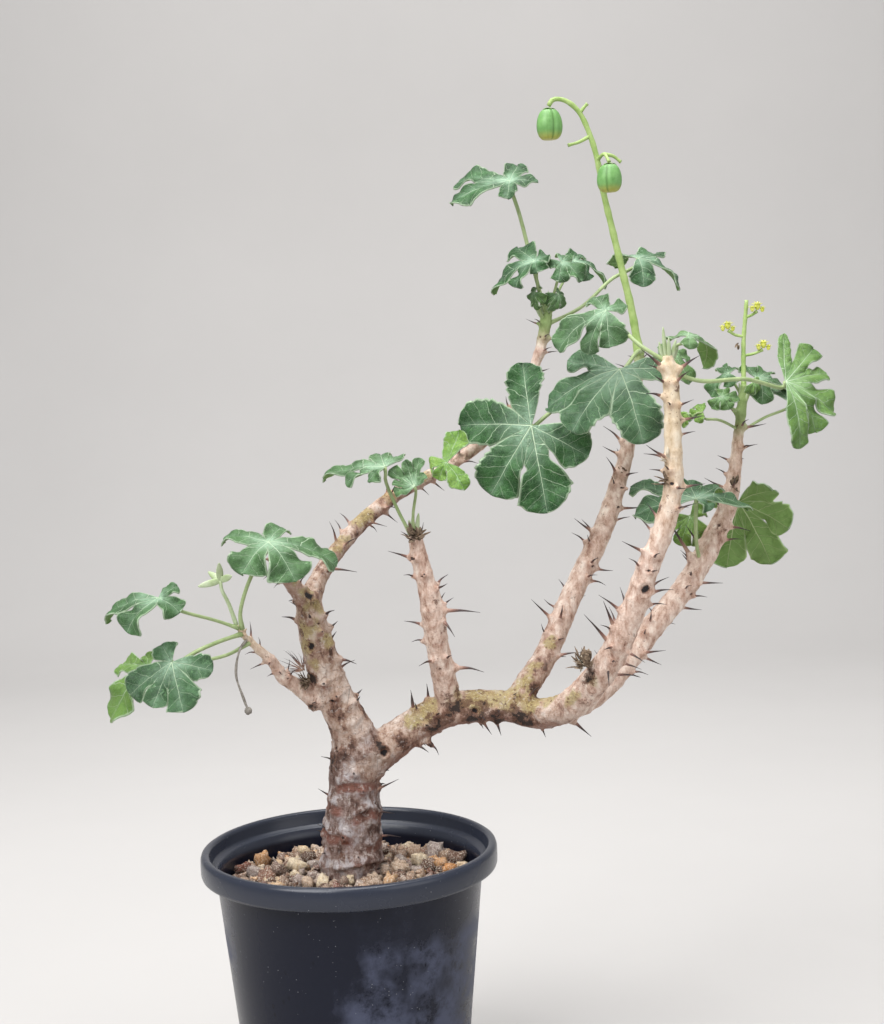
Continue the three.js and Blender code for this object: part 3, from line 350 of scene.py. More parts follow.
# Young shoot, dead stalk, fruit and flowers
SHOOT_ROUTE = [
    (-48, -33, 258.8), (-51, -36, 270), (-53.5, -38, 276.5), (-54, -38, 281),
]
SHOOT_TIPS = [
    (-64, -42, 279), (-54, -41, 290), (-47, -43, 284), (-59, -34, 284),
]
DRY_STALK_ROUTE = [
    (-43.5, -28.5, 251), (-46.8, -33.5, 246.5), (-48.8, -36, 235), (-45.8, -37.5, 224.5),
    (-43.5, -37.5, 217.5),
]
FRUIT_STALK_ROUTE = [
    (158, 37.5, 382), (154.5, 37, 405.5), (150, 36, 426), (145.5, 35, 446.5), (141.5, 34, 464.5),
    (138.5, 33, 482), (135, 32, 494.5), (130, 31, 505.5), (125, 30, 510.5), (120, 29, 512.5),
    (116, 28, 512), (114, 28, 509.2),
]
FRUIT_STUBS = [
    [(130, 31, 505.5), (132, 30.5, 508), (134, 30, 510)],
    [(135, 32, 494), (129, 31, 491), (123.5, 30, 489.5)],
    [(138.5, 33, 482), (141.5, 27, 484), (143.5, 23.5, 479.6)],
    [(141.5, 27, 484), (146, 28, 483), (150, 29, 480)],
]
# Seed capsules: centre, radius, height, and turn of the seams in radians
CAPSULES = {
    "seed_capsule_1": ((114, 28, 499.8), 6.6, 16.4, 0.2),
    "seed_capsule_2": ((143.5, 23.5, 471.4), 6.3, 15, 0.9),
}
FLOWER_STALK_ROUTE = [
    (213.5, 47, 362.5), (214, 49, 372), (214.5, 50, 388), (215.5, 50, 398.5), (216.5, 50, 409),
]
PEDICELS = [
    [(216, 50, 400), (219, 48.6, 401.2), (221.3, 47.2, 402.9)],
    [(215, 50, 390), (210, 49, 391), (206.3, 48.1, 393.4)],
    [(214.5, 50, 380), (220, 49, 381), (224.2, 48.1, 382.9)],
]
FLOWERS = {"flower_1": (221.5, 47, 406), "flower_2": (206, 48, 396.5), "flower_3": (224.5, 48, 386)}

# Dry bracts at old growing points: centre, size, count, and outward direction
BRACTS = [
    ((39.5, -16, 297.5), 6, 34, (0, -0.6, 0.8)), ((119, -24, 233), 6.5, 42, (-0.4, -0.4, 0.9)),
    ((159, -38, 321), 5, 10, (-0.7, -0.7, 0.1)), ((-18, -10, 226), 5, 22, (-0.7, -0.5, 0.5)),
    ((147, 36, 322), 4, 6, (-0.4, -0.6, 0.5)), ((206, 41, 312), 5, 8, (-0.2, -0.9, 0.2)),
    ((94, 8, 214), 5, 9, (0.3, -0.8, 0.6)), ((212, 48, 385), 3.5, 2, (0, -0.3, -1)),
]
# Pale dry buds that stand off the bark: centre, size, count, and outward direction
PALE_BUDS = [
    ((159.5, -40, 331.5), 4.5, 7, (-0.5, -0.7, 0.5)), ((118, -26, 233), 3.5, 5, (-0.5, -0.7, 0.4)),
]
# Upright young buds at the tips: foot and tip
YOUNG_BUDS = [
    ((162, -34, 378), (160.3, -34.5, 394)), ((163.5, -35, 378), (162.6, -36, 389)),
    ((164.5, -34, 378), (166.4, -34, 388)), ((161, -33, 378), (158.5, -33, 387)),
    ((165, -32, 378), (168, -30, 385)), ((39, -16, 297), (38, -17.5, 307)),
    ((40, -16, 297), (41.2, -17, 308.5)), ((38.5, -15, 297), (36.2, -15, 305)),
    ((111, 61, 403), (108.5, 58, 416)), ((113.5, 61, 403), (114.5, 57, 417)),
    ((112.5, 63, 403), (113.5, 65, 418)), ((110.5, 62, 402), (105, 62, 413)),
    ((213.5, 47, 355), (210.5, 46, 366)), ((214, 46, 355), (217, 44, 366)),
]
# Small crumpled leaves beside the named ones, in the same order of values as there
SMALL_LEAVES = {
    "under_back_1": (
        (105.5, 53, 417), (-0.5, -0.6, 0.55),
        [(111, 61, 402), (107, 56, 412)],
        [(200, 8, 4, 100), (250, 10, 4, 120), (300, 8, 3.5, 100), (80, 5, 3, 60)],
        0.8, 0.1, 0.3),
    "under_back_2": (
        (118, 55, 416), (0.4, -0.7, 0.5),
        [(113, 61, 403), (116, 57, 411)],
        [(215, 9, 4, 110), (262, 11, 4.5, 120), (318, 9, 4, 100), (60, 5, 3, 60)],
        0.8, 0.05, 0.2),
    "under_rear_1": (
        (218, 42, 366), (0.3, -0.6, 0.5),
        [(213.5, 47, 353), (216, 44, 361)],
        [(250, 7, 3, 100), (310, 8, 3, 110), (30, 6, 3, 60)],
        0.7, 0.1, 0.55),
    "yellow_front": (
        (183, 36, 351), (-0.5, -0.6, 0.5),
        [(190, 38, 351), (187, 37, 351)],
        [(160, 12, 3, 60), (215, 8, 2.5, 60)],
        0.6, 0.0, 0.95),
}

# Stones of the gravel that stand out in the photo: x, y, size, and tint from 0 to 1 on the grains' ramp
MARKED_STONES = [
    (-27.8, 8, 5.4, 0.9), (-19.3, 10.5, 3.8, 0.7), (43, 32, 6.6, 0.7), (33, 30, 5.0, 0.3),
    (50, 6, 3.8, 1.0), (45.5, 13, 3.6, 0.98), (-57, 18, 4.4, 0.8), (-48, 32, 5.0, 0.98),
    (-27, 44, 3.8, 0.92), (25, 2, 4.6, 0.56), (54, 22, 5.0, 0.04), (57, 9, 3.2, 0.92), (-38, 6, 4.6, 0.44),
    (-50, 8, 4.0, 0.7), (35, 14, 4.2, 0.9), (26, 14, 4.6, 0.7),
]
# Usual sizes of the other grains: the number of the grain where each size ends, and the size
GRAIN_SIZES = ((70, 4.4), (330, 3.1), (900, 1.9), (math.inf, 1.1))


def scatter(seed):
    """A repeatable number from 0 to 1 for each seed."""
    value = math.sin(seed * 12.9898 + 4.1414) * 43758.5453
    return value - math.floor(value)


def smooth(low, high, value):
    share = min(1.0, max(0.0, (value - low) / (high - low)))
    return share * share * (3 - 2 * share)


class Route:
    """Smooth path through points in millimetres, with a radius at each point where it has one."""

    SAMPLES = 200

    def __init__(self, points):
        self.points = [Vector(point[:3]) for point in points]
        self.radii = [point[3] for point in points if len(point) > 3]
        self.chords = [0.0]
        for before, after in zip(self.points, self.points[1:]):
            self.chords.append(self.chords[-1] + (after - before).length)
        places = [self.raw(i / self.SAMPLES) for i in range(self.SAMPLES + 1)]
        self.lengths = [0.0]
        for before, after in zip(places, places[1:]):
            self.lengths.append(self.lengths[-1] + (after - before).length)
        self.length = self.lengths[-1]

    def raw(self, t):
        points = self.points
        last = len(points) - 1
        i = min(int(t * last), last - 1)
        w = t * last - i
        p1, p2 = points[i], points[i + 1]
        p0 = points[i - 1] if i > 0 else 2 * points[0] - points[1]
        p3 = points[i + 2] if i + 2 <= last else 2 * points[last] - points[last - 1]
        d0, d1, d2 = (math.sqrt((b - a).length) for a, b in ((p0, p1), (p1, p2), (p2, p3)))
        t1 = ((p1 - p0) / d0 - (p2 - p0) / (d0 + d1) + (p2 - p1) / d1) * d1
        t2 = ((p2 - p1) / d1 - (p3 - p1) / (d1 + d2) + (p3 - p2) / d2) * d1
        bend = -3 * p1 + 3 * p2 - 2 * t1 - t2
        twist = 2 * p1 - 2 * p2 + t1 + t2
        return p1 + t1 * w + bend * w * w + twist * w ** 3

    def at(self, share):
        goal = min(1.0, max(0.0, share)) * self.length
        low, high = 0, self.SAMPLES
        while high - low > 1:
            middle = (low + high) // 2
            if self.lengths[middle] <= goal:
                low = middle
            else:
                high = middle
        span = self.lengths[high] - self.lengths[low]
        return self.raw((low + (goal - self.lengths[low]) / span) / self.SAMPLES)

    def tangent(self, share):
        low, high = max(0.0, share - 1e-4), min(1.0, share + 1e-4)
        return (self.at(high) - self.at(low)).normalized()

    def radius(self, share):
        goal = share * self.chords[-1]
        i = 1
        while i < len(self.chords) - 1 and self.chords[i] < goal:
            i += 1
        part = (goal - self.chords[i - 1]) / (self.chords[i] - self.chords[i - 1])
        return self.radii[i - 1] + (self.radii[i] - self.radii[i - 1]) * part

    def frames(self, steps):
        """Centre, tangent, normal and binormal at each step, carried along without twisting."""
        tangents = [self.tangent(i / steps) for i in range(steps + 1)]
        start = tangents[0]
        sizes = [abs(value) for value in start]
        axis = Vector((0, 0, 0))
        axis[max(i for i in range(3) if sizes[i] <= min(sizes))] = 1
        side = start.cross(axis).normalized()
        normals = [start.cross(side)]
        for before, after in zip(tangents, tangents[1:]):
            normal = normals[-1].copy()
            turn = before.cross(after)
            if turn.length > 1e-9:
                angle = math.acos(min(1.0, max(-1.0, before.dot(after))))
                normal.rotate(Matrix.Rotation(angle, 3, turn.normalized()))
            normals.append(normal)
        return [(self.at(i / steps), tangent, normal, tangent.cross(normal))
                for i, (tangent, normal) in enumerate(zip(tangents, normals))]


ROUTES = {name: Route(points) for name, points in BRANCHES.items()}


# Mesh tools

def sheet(bm, columns, rows, place, note=None):
    """Grid of quads laid by place(u, v), which answers in millimetres; note(vert, u, v) marks a vertex."""
    made = bmesh.ops.create_grid(bm, x_segments=columns, y_segments=rows, size=0.5, calc_uvs=True)["verts"]
    for vert in made:
        u, v = vert.co.x + 0.5, vert.co.y + 0.5
        vert.co = place(u, v) * MM
        if note:
            note(vert, u, v)
    return made


def tube(bm, route, columns, rows, radius_at):
    """Closed round tube along a route; radius_at(share) answers in millimetres."""
    frames = route.frames(rows)

    def place(u, v):
        centre, _, normal, binormal = frames[round(v * rows)]
        angle = 2 * math.pi * u
        return centre + (binormal * math.cos(angle) + normal * math.sin(angle)) * radius_at(v)

    close_sheet(bm, sheet(bm, columns, rows, place))


def close_sheet(bm, made):
    """Joins the seam of a rolled sheet and fills its two ends."""
    bmesh.ops.remove_doubles(bm, verts=made, dist=1e-7)
    made = [vert for vert in made if vert.is_valid]
    rims = [edge for vert in made for edge in vert.link_edges if edge.is_boundary]
    bmesh.ops.holes_fill(bm, edges=list(set(rims)), sides=0)


def flat_bud(bm, start, ahead, length, half_width, curl=0.0, thick=0.25, facing=(0.3, 0.2, 0.9),
             cells=(8, 6)):
    """Closed flat scale, bud or petal that leads ahead from a start and curls towards its upper face."""
    ahead = Vector(ahead).normalized()
    side = ahead.cross(Vector(facing)).normalized()
    up = side.cross(ahead)

    def place(u, v):
        around = 2 * math.pi * u
        wide = half_width * math.sin(math.pi * min(1.0, 0.12 + 0.85 * v)) ** 0.7
        return (Vector(start) + ahead * length * v + up * (curl * v * v + thick * wide * math.sin(around))
                + side * wide * math.cos(around))

    close_sheet(bm, sheet(bm, *cells, place))


def new_bmesh():
    bm = bmesh.new()
    bm.loops.layers.uv.new("UVMap")
    return bm


def turned(bm, profile, steps):
    """Spins a profile of (radius, height) in millimetres into a closed body."""
    verts = [bm.verts.new((x * MM, 0, z * MM)) for x, z in profile]
    edges = [bm.edges.new(pair) for pair in zip(verts, verts[1:])]
    bmesh.ops.spin(bm, geom=verts + edges, cent=(0, 0, 0), axis=(0, 0, 1), angle=2 * math.pi,
                   steps=steps, use_merge=True)
    bmesh.ops.remove_doubles(bm, verts=bm.verts, dist=1e-6)


def mesh_of(bm, name):
    mesh = bpy.data.meshes.new(name)
    bm.to_mesh(mesh)
    bm.free()
    return mesh


def placed(name, data):
    """A new object in the scene, for the data of a mesh, a light or a camera."""
    thing = bpy.data.objects.new(name, data)
    bpy.context.scene.collection.objects.link(thing)
    return thing


def spoke(turn, rise=0.0):
    """Direction at a share of a full turn round the z axis, with its rise."""
    return Vector((math.cos(2 * math.pi * turn), math.sin(2 * math.pi * turn), rise))


def finish_object(bm, name, materials, nodes=(), outward=True):
    """Turns a bmesh into a piece of the object that rides on the root body."""
    if outward:
        bmesh.ops.recalc_face_normals(bm, faces=bm.faces)
    piece = placed(name, mesh_of(bm, name))
    for material in materials:
        piece.data.materials.append(material)
    piece.data.shade_smooth()
    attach(piece, BODY)
    if nodes:
        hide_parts(*nodes)


def baked(bm, setup, into):
    """Adds the bmesh to another one after the modifier that setup(object) gives it."""
    helper = placed("shaping", mesh_of(bm, "shaping"))
    setup(helper)
    depsgraph = bpy.context.evaluated_depsgraph_get()
    result = bpy.data.meshes.new_from_object(helper.evaluated_get(depsgraph))
    into.from_mesh(result)
    bpy.data.meshes.remove(helper.data)
    bpy.data.meshes.remove(result)
    return into


# Materials

class Wire:
    """Output of a node, which can be added, subtracted, multiplied and divided."""

    def __init__(self, look, socket):
        self.look, self.socket = look, socket

    def __add__(self, other):
        return self.look.math("ADD", self, other)

    def __sub__(self, other):
        return self.look.math("SUBTRACT", self, other)

    def __rsub__(self, other):
        return self.look.math("SUBTRACT", other, self)

    def __mul__(self, other):
        return self.look.math("MULTIPLY", self, other)

    def __truediv__(self, other):
        return self.look.math("DIVIDE", self, other)


class Look:
    """Wires the nodes of one material."""

    def __init__(self, name):
        self.material = bpy.data.materials.new(name)
        self.material.use_nodes = True
        self.tree = self.material.node_tree
        self.shader = self.tree.nodes["Principled BSDF"]
        self.object_coords = self.add("Object", "ShaderNodeTexCoord")

    def add(self, output, kind, inputs=None, **settings):
        """Adds a node and answers with the named or numbered output."""
        node = self.tree.nodes.new(kind)
        for key, value in settings.items():
            setattr(node, key, value)
        for key, value in (inputs or {}).items():
            self.feed(node.inputs[key], value)
        return Wire(self, node.outputs[output])

    def feed(self, socket, value):
        if isinstance(value, Wire):
            self.tree.links.new(value.socket, socket)
        else:
            socket.default_value = value

    def attribute(self, name):
        return self.add("Fac", "ShaderNodeAttribute", attribute_name=name)

    def part(self, vector, axis):
        return self.add(axis, "ShaderNodeSeparateXYZ", {0: vector})

    def stretched(self, scale):
        """Object coordinates times a scale on each axis."""
        return self.add(0, "ShaderNodeMapping", {"Vector": self.object_coords, "Scale": scale})

    def noise(self, scale, detail=4.0, roughness=0.6, vector=None):
        return self.add("Fac", "ShaderNodeTexNoise", {
            "Vector": vector or self.object_coords,
            "Scale": scale, "Detail": detail, "Roughness": roughness,
        })

    def cells(self, scale, feature="F1", vector=None):
        return self.add("Distance", "ShaderNodeTexVoronoi",
                        {"Vector": vector or self.object_coords, "Scale": scale}, feature=feature)

    def math(self, operation, a, b=0.0, clamp=False):
        return self.add(0, "ShaderNodeMath", {0: a, 1: b}, operation=operation, use_clamp=clamp)

    def most(self, a, b):
        return self.math("MAXIMUM", a, b)

    def range(self, value, low, high, start=0.0, end=1.0):
        """Smooth change from start to end while the value goes from low to high."""
        return self.add("Result", "ShaderNodeMapRange", {
            "Value": value, "From Min": low, "From Max": high, "To Min": start, "To Max": end,
        }, interpolation_type="SMOOTHSTEP")

    def ramp(self, value, stops):
        """Colour at the value, from stops of a place and a colour."""
        colour = self.add("Color", "ShaderNodeValToRGB", {"Fac": value})
        elements = colour.socket.node.color_ramp.elements
        while len(elements) < len(stops):
            elements.new(0.5)
        for element, (place, paint) in zip(elements, stops):
            element.position = place
            element.color = (*paint, 1)
        return colour

    def mix(self, share, a, b, blend="MIX"):
        a, b = ((*value, 1) if isinstance(value, tuple) else value for value in (a, b))
        return self.add(2, "ShaderNodeMix", {0: share, 6: a, 7: b}, data_type="RGBA", blend_type=blend)

    def bump(self, height, distance, strength=1.0, below=None):
        inputs = {"Height": height, "Distance": distance, "Strength": strength}
        if below is not None:
            inputs["Normal"] = below
        return self.add(0, "ShaderNodeBump", inputs)

    def finish(self, colour, roughness, normal=None, specular=0.5):
        self.feed(self.shader.inputs["Base Color"], colour)
        self.feed(self.shader.inputs["Roughness"], roughness)
        self.feed(self.shader.inputs["Specular IOR Level"], specular)
        if normal is not None:
            self.feed(self.shader.inputs["Normal"], normal)
        return self.material


def black_plastic(colour):
    look = Look("pot_black_plastic")
    beside, level = look.part(look.object_coords, "X"), look.part(look.object_coords, "Z")
    cloud = look.noise(14, 5, 0.6, look.stretched((1, 1, 0.8))) + look.range(beside, -0.02, 0.02, 0, 0.1)
    foot = look.range(beside, -0.015, -0.045) * look.range(level, 0.07, 0.03, 0, 0.11)
    blot = look.noise(60, 6, 0.75)
    film = look.range(cloud + foot, 0.5, 0.62) * look.range(blot, 0.66, 0.4)
    film = film * look.range(level, 0.112, 0.1, 0.12, 1)
    base = look.mix(film, colour, (0.066, 0.075, 0.118))
    # Lighter bluish grey round the lip: painted sheen of the glossy rim
    rim = look.range(level, 0.126, 0.129)
    base = look.mix(rim * 0.7, base, (0.028, 0.034, 0.052))
    drops = look.range(look.cells(150, vector=look.stretched((1.4, 1.4, 0.8))), 0.12, 0.2, 1, 0)
    drops = drops * look.range(look.noise(30, 3), 0.42, 0.52)
    drops = drops * look.range(level, 0.112, 0.1, 0.1, 0.9)
    base = look.mix(drops, base, (0.006, 0.007, 0.014))
    specks = look.range(look.cells(420), 0.05, 0.1, 1, 0) * look.range(look.noise(90, 2), 0.53, 0.59)
    base = look.mix(specks, base, (0.3, 0.31, 0.34))
    roughness = look.range(film, 0, 1, 0.27, 0.5) + drops * -0.1
    normal = look.bump(look.noise(700, 3), 0.00006, 0.5)
    normal = look.bump(look.noise(9, 2, 0.5, look.stretched((1, 1, 0.3))), 0.001, 0.3, normal)
    return look.finish(base, roughness, normal, rim * 0.25 + 0.2)


def gravel_grains():
    look = Look("gravel_grains")
    tint = look.attribute("tint")
    base = look.ramp(tint, [
        (0.0, (0.13, 0.07, 0.05)), (0.14, (0.33, 0.2, 0.14)), (0.3, (0.55, 0.38, 0.27)),
        (0.44, (0.24, 0.16, 0.13)), (0.56, (0.66, 0.49, 0.36)), (0.7, (0.45, 0.37, 0.34)),
        (0.8, (0.22, 0.085, 0.06)), (0.9, (0.82, 0.68, 0.48)), (1.0, (0.6, 0.28, 0.1)),
    ])
    mottle = look.noise(650, 5, 0.7)
    base = look.mix(look.range(mottle, 0.4, 0.62, 0, 0.6), base, (0.4, 0.31, 0.24), "MULTIPLY")
    # Darker colour in the pits that the relief sinks: painted shade in the hollows of the grains
    shaded_pits = look.range(look.cells(1300), 0.05, 0.3)
    base = look.mix(look.range(shaded_pits, 0.3, 0.0, 0, 0.6), base, (0.1, 0.065, 0.05))
    base = look.mix(look.range(look.noise(1500, 3), 0.52, 0.64, 0, 0.75), base, (0.86, 0.79, 0.67))
    height = mottle * 0.6 + shaded_pits * 0.6
    return look.finish(base, 0.92, look.bump(height, 0.0018, 1.0), 0.25)


def one_grain(name, grain, stops, roughness, relief, specular):
    """Look whose colour and relief both follow one noise."""
    look = Look(name)
    value = look.noise(*grain)
    return look.finish(look.ramp(value, stops), roughness, look.bump(value, *relief), specular)


def old_and_young_bark():
    look = Look("bark")
    age, green, scar, band, blush, stain, moss, under = (look.attribute(name) for name in WOOD_MARKS)
    broad = look.noise(70, 5, 0.65)
    streak = look.noise(260, 5, 0.7, look.stretched((1, 1, 0.5)))
    fine = look.noise(1300, 4, 0.7)

    young = look.ramp(streak, [
        (0.32, (0.29, 0.155, 0.11)), (0.42, (0.52, 0.345, 0.265)),
        (0.52, (0.68, 0.505, 0.415)), (0.66, (0.87, 0.74, 0.64)),
    ])
    cream = look.ramp(streak, [
        (0.3, (0.5, 0.37, 0.22)), (0.5, (0.69, 0.56, 0.39)), (0.72, (0.83, 0.74, 0.59)),
    ])
    mixed = broad * 0.55 + streak * 0.45
    limb = look.ramp(mixed, [
        (0.39, (0.07, 0.033, 0.022)), (0.44, (0.24, 0.13, 0.09)), (0.49, (0.44, 0.3, 0.225)),
        (0.55, (0.6, 0.46, 0.38)), (0.64, (0.78, 0.68, 0.61)),
    ])
    trunk = look.ramp(mixed, [
        (0.38, (0.05, 0.025, 0.02)), (0.44, (0.16, 0.09, 0.07)), (0.49, (0.29, 0.2, 0.17)),
        (0.55, (0.41, 0.34, 0.33)), (0.64, (0.6, 0.55, 0.55)),
    ])
    base = look.mix(look.range(age, 0.0, 0.3), cream, young)
    base = look.mix(look.range(age, 0.56, 0.72), base, limb)
    base = look.mix(look.range(age, 0.88, 0.97), base, trunk)

    mossy = moss + (mixed - 0.5) * 2.6
    base = look.mix(look.range(mossy, 0.35, 0.9, 0, 0.75), base, (0.34, 0.26, 0.1))
    tufts = look.range(mossy, 0.4, 0.9, 0, 0.8) * look.range(fine, 0.5, 0.62)
    base = look.mix(tufts, base, (0.52, 0.44, 0.2))
    # Red-brown on downward-facing bark and in the band below each trunk ridge: partly the bark's own
    # red-brown, partly painted shade under the ridges and limbs
    red_bark_and_shade = (under * 0.85 + look.range(band, 0, 1) * 0.9) * look.range(mixed, 0.42, 0.54, 0.35, 1)
    base = look.mix(red_bark_and_shade, base, (0.23, 0.078, 0.048))
    # Whitish grey on the upper faces of the trunk's ridges: partly the bark's waxy bloom, partly painted
    # highlight
    bloom_and_highlight = look.range(band, 0, -1) * look.range(mixed, 0.45, 0.55)
    base = look.mix(bloom_and_highlight * look.range(streak, 0.4, 0.56, 0.2, 0.7), base, (0.6, 0.56, 0.57))
    base = look.mix(blush * look.range(fine, 0.35, 0.6, 0.1, 0.5), base, (0.46, 0.25, 0.18))

    lichen = look.range(look.noise(380, 4, 0.7), 0.53, 0.66) * look.range(age, 0.3, 0.9, 0.2, 1)
    base = look.mix(lichen * 0.42, base, (0.78, 0.71, 0.66))
    flecks = look.range(look.cells(620), 0.12, 0.22, 1, 0) * look.range(look.noise(210, 2), 0.5, 0.62)
    flecks = look.most(flecks, look.range(look.cells(330), 0.16, 0.26, 1, 0) * look.range(moss, 0.3, 0.8))
    base = look.mix(flecks * 0.7, base, (0.17, 0.085, 0.05))
    cracks = look.range(look.cells(150, "DISTANCE_TO_EDGE", look.stretched((1, 1, 0.4))), 0.0, 0.045, 1, 0)
    cracks = cracks * look.range(broad, 0.52, 0.6) * look.range(age, 0.5, 0.75, 0.0, 0.6)
    base = look.mix(cracks, base, (0.13, 0.065, 0.045))
    blotch = look.noise(130, 6, 0.75)
    soak = stain * 0.75 + (blotch - 0.5) * 3.2  # from a brown stain at 0.34 to a black wound at 0.82
    base = look.mix(look.range(soak, 0.34, 0.55, 0, 0.8), base, (0.13, 0.056, 0.032))
    base = look.mix(look.range(soak, 0.7, 0.82, 0, 0.9), base, (0.022, 0.016, 0.014))
    tip = look.ramp(streak, [(0.3, (0.19, 0.28, 0.08)), (0.7, (0.36, 0.47, 0.2))])
    base = look.mix(green, base, tip)
    frayed = look.noise(520, 4, 0.75)
    ragged = scar + (frayed - 0.5) * 1.1
    base = look.mix(look.range(ragged, 0.34, 0.56, 0, 0.75), base, (0.2, 0.09, 0.055))
    base = look.mix(look.range(ragged, 0.6, 0.72), base, (0.014, 0.011, 0.012))

    crease = look.noise(420, 5, 0.7, look.stretched((1, 1, 1.8)))
    height = (crease * 0.6 + fine * 0.4 - flecks * 0.25) * look.range(age, 0.1, 0.9, 0.3, 0.9)
    normal = look.bump(height, 0.0018, 1.0)
    roughness = look.range(scar, 0.4, 0.9, 0.7, 0.35) - red_bark_and_shade * 0.25
    return look.finish(base, roughness, normal, 0.4)


def spine_thorn():
    look = Look("spine")
    along = look.part(look.add(0, "ShaderNodeUVMap", uv_map="UVMap"), "Y")
    blotch = along + (look.noise(300, 3) - 0.5) * 0.4
    base = look.ramp(blotch, [
        (0.0, (0.6, 0.45, 0.36)), (0.2, (0.4, 0.25, 0.19)), (0.36, (0.2, 0.095, 0.07)),
        (0.52, (0.055, 0.032, 0.028)), (1.0, (0.02, 0.018, 0.02)),
    ])
    return look.finish(base, 0.45, look.bump(look.noise(2400, 3), 0.0002, 0.5))


LOBE_MARKS = ("rib", "run", "ahead", "rim")


def vein_masks(look):
    """Share along a lobe, its midrib, side veins, fine net and rim, from the millimetres on its rib."""
    rib, run, ahead, rim = (look.attribute(name) for name in LOBE_MARKS)
    thick = ahead * 0.008 + 0.06
    midrib = look.range(rib / thick, 0.5, 1.5, 1, 0)
    wander = (look.noise(160, 2) - 0.5) * 3.4
    lean = rib * 0.75 - rib * rib * 0.01
    phase = run + wander - lean
    phase = phase + look.math("GREATER_THAN", rim, 0.0) * (0.42 * VEIN_STEP)
    fine = ahead * 0.0036 + 0.045
    side = look.range(look.math("PINGPONG", phase, VEIN_STEP / 2) / fine, 0.5, 2.0, 1, 0)
    side = side * look.range(run, 3, 9)
    fork = look.range(look.math("PINGPONG", phase + rib * 2.1, 1.9), 0.03, 0.17, 1, 0)
    net = look.range(look.cells(420, "DISTANCE_TO_EDGE"), 0.01, 0.06, 1, 0)
    net = look.most(net, fork * look.range(rib, 1.5, 3.5, 0, 0.6))
    net = look.most(net, look.range(look.cells(1100, "DISTANCE_TO_EDGE"), 0.02, 0.12, 0.4, 0))
    rim = look.range(look.math("ABSOLUTE", rim), 0.88, 0.97)
    return run / (run + ahead), midrib, side, net, rim


def leaf_upper(deep, middle):
    look = Look("leaf_upper")
    reach, midrib, side, net, rim = vein_masks(look)
    rib, bloom, youth = (look.attribute(name) for name in ("rib", "bloom", "youth"))
    patch = look.noise(90, 5, 0.65)
    base = look.ramp(patch, [(0.38, deep), (0.62, middle)])
    waxy = bloom * 0.3 + look.range(reach, 0.02, 0.55, 0.8, 0) + look.range(rib, 0.2, 3.5, 0.22, 0)
    waxy = look.math("MULTIPLY", waxy, look.range(patch, 0.3, 0.62, 0.45, 1.1), clamp=True)
    base = look.mix(waxy, base, (0.31, 0.46, 0.33))
    fresh = look.ramp(patch, [(0.3, (0.13, 0.28, 0.03)), (0.7, (0.3, 0.47, 0.09))])
    base = look.mix(youth, base, fresh)
    base = look.mix(net * 0.34, base, (0.22, 0.42, 0.19))
    vein = look.most(midrib * 0.9, side * 0.72)
    vein = look.most(vein, rim * 0.7)
    base = look.mix(vein, base, (0.55, 0.7, 0.48))
    # Small near-white spots over the blade: painted glints of light
    painted_glints = look.range(look.cells(620), 0.05, 0.09, 1, 0) * look.range(look.noise(70, 2), 0.54, 0.62)
    base = look.mix(painted_glints * 0.6, base, (0.75, 0.82, 0.75))
    sunk = 1.0 - look.most(look.most(midrib, side), net * 0.5)
    normal = look.bump(sunk, 0.0009, 0.9)
    normal = look.bump(look.noise(700, 4), 0.0005, 0.6, normal)
    roughness = look.range(waxy, 0, 0.6, 0.36, 0.6)
    return look.finish(base, roughness, normal, 0.3)


def leaf_lower():
    look = Look("leaf_lower")
    _, midrib, side, net, rim = vein_masks(look)
    youth = look.attribute("youth")
    patch = look.noise(140, 3)
    base = look.ramp(patch, [(0.3, (0.1, 0.23, 0.05)), (0.7, (0.2, 0.37, 0.11))])
    base = look.mix(youth, base, (0.36, 0.48, 0.15))
    vein = look.most(midrib, side * 0.75)
    vein = look.most(vein, rim * 0.4)
    base = look.mix(vein * 0.9, base, (0.56, 0.67, 0.36))
    height = look.most(vein, net * 0.4)
    return look.finish(base, 0.6, look.bump(height, 0.0008, 0.9), 0.3)


def green_stalk(name, pale, dark):
    look = Look(name)
    streak = look.noise(180, 4, 0.6)
    base = look.ramp(streak, [(0.3, dark), (0.65, pale)])
    speck = look.range(look.cells(900), 0.05, 0.16, 0.35, 0)
    base = look.mix(speck, base, (0.5, 0.58, 0.36))
    return look.finish(base, 0.45, look.bump(look.noise(1500, 3), 0.0002, 0.5), 0.45)


def capsule_skin(pale, dark):
    look = Look("capsule_skin")
    height = look.attribute("height")
    groove = look.attribute("groove")
    streak = look.noise(260, 4, 0.6)
    base = look.ramp(streak, [(0.3, dark), (0.7, pale)])
    base = look.mix(look.range(height, 0.0, 0.34, 0.85, 0), base, (0.47, 0.42, 0.07))
    # Darker green in the sutures and seams, where the skin dips: painted shade in the grooves
    base = look.mix(groove * 0.75, base, (0.05, 0.14, 0.02))
    base = look.mix(look.range(look.cells(1100), 0.04, 0.15, 0.3, 0), base, (0.4, 0.55, 0.22))
    return look.finish(base, 0.42, look.bump(look.noise(1300, 3), 0.0002, 0.6), 0.45)


def studio_paper(name, colour):
    look = Look(name)
    weave = look.noise(3, 4, 0.6)
    base = look.ramp(weave, [(0.3, colour), (0.7, tuple(channel * 0.965 for channel in colour))])
    return look.finish(base, 0.95, None, 0.1)


# Leaves

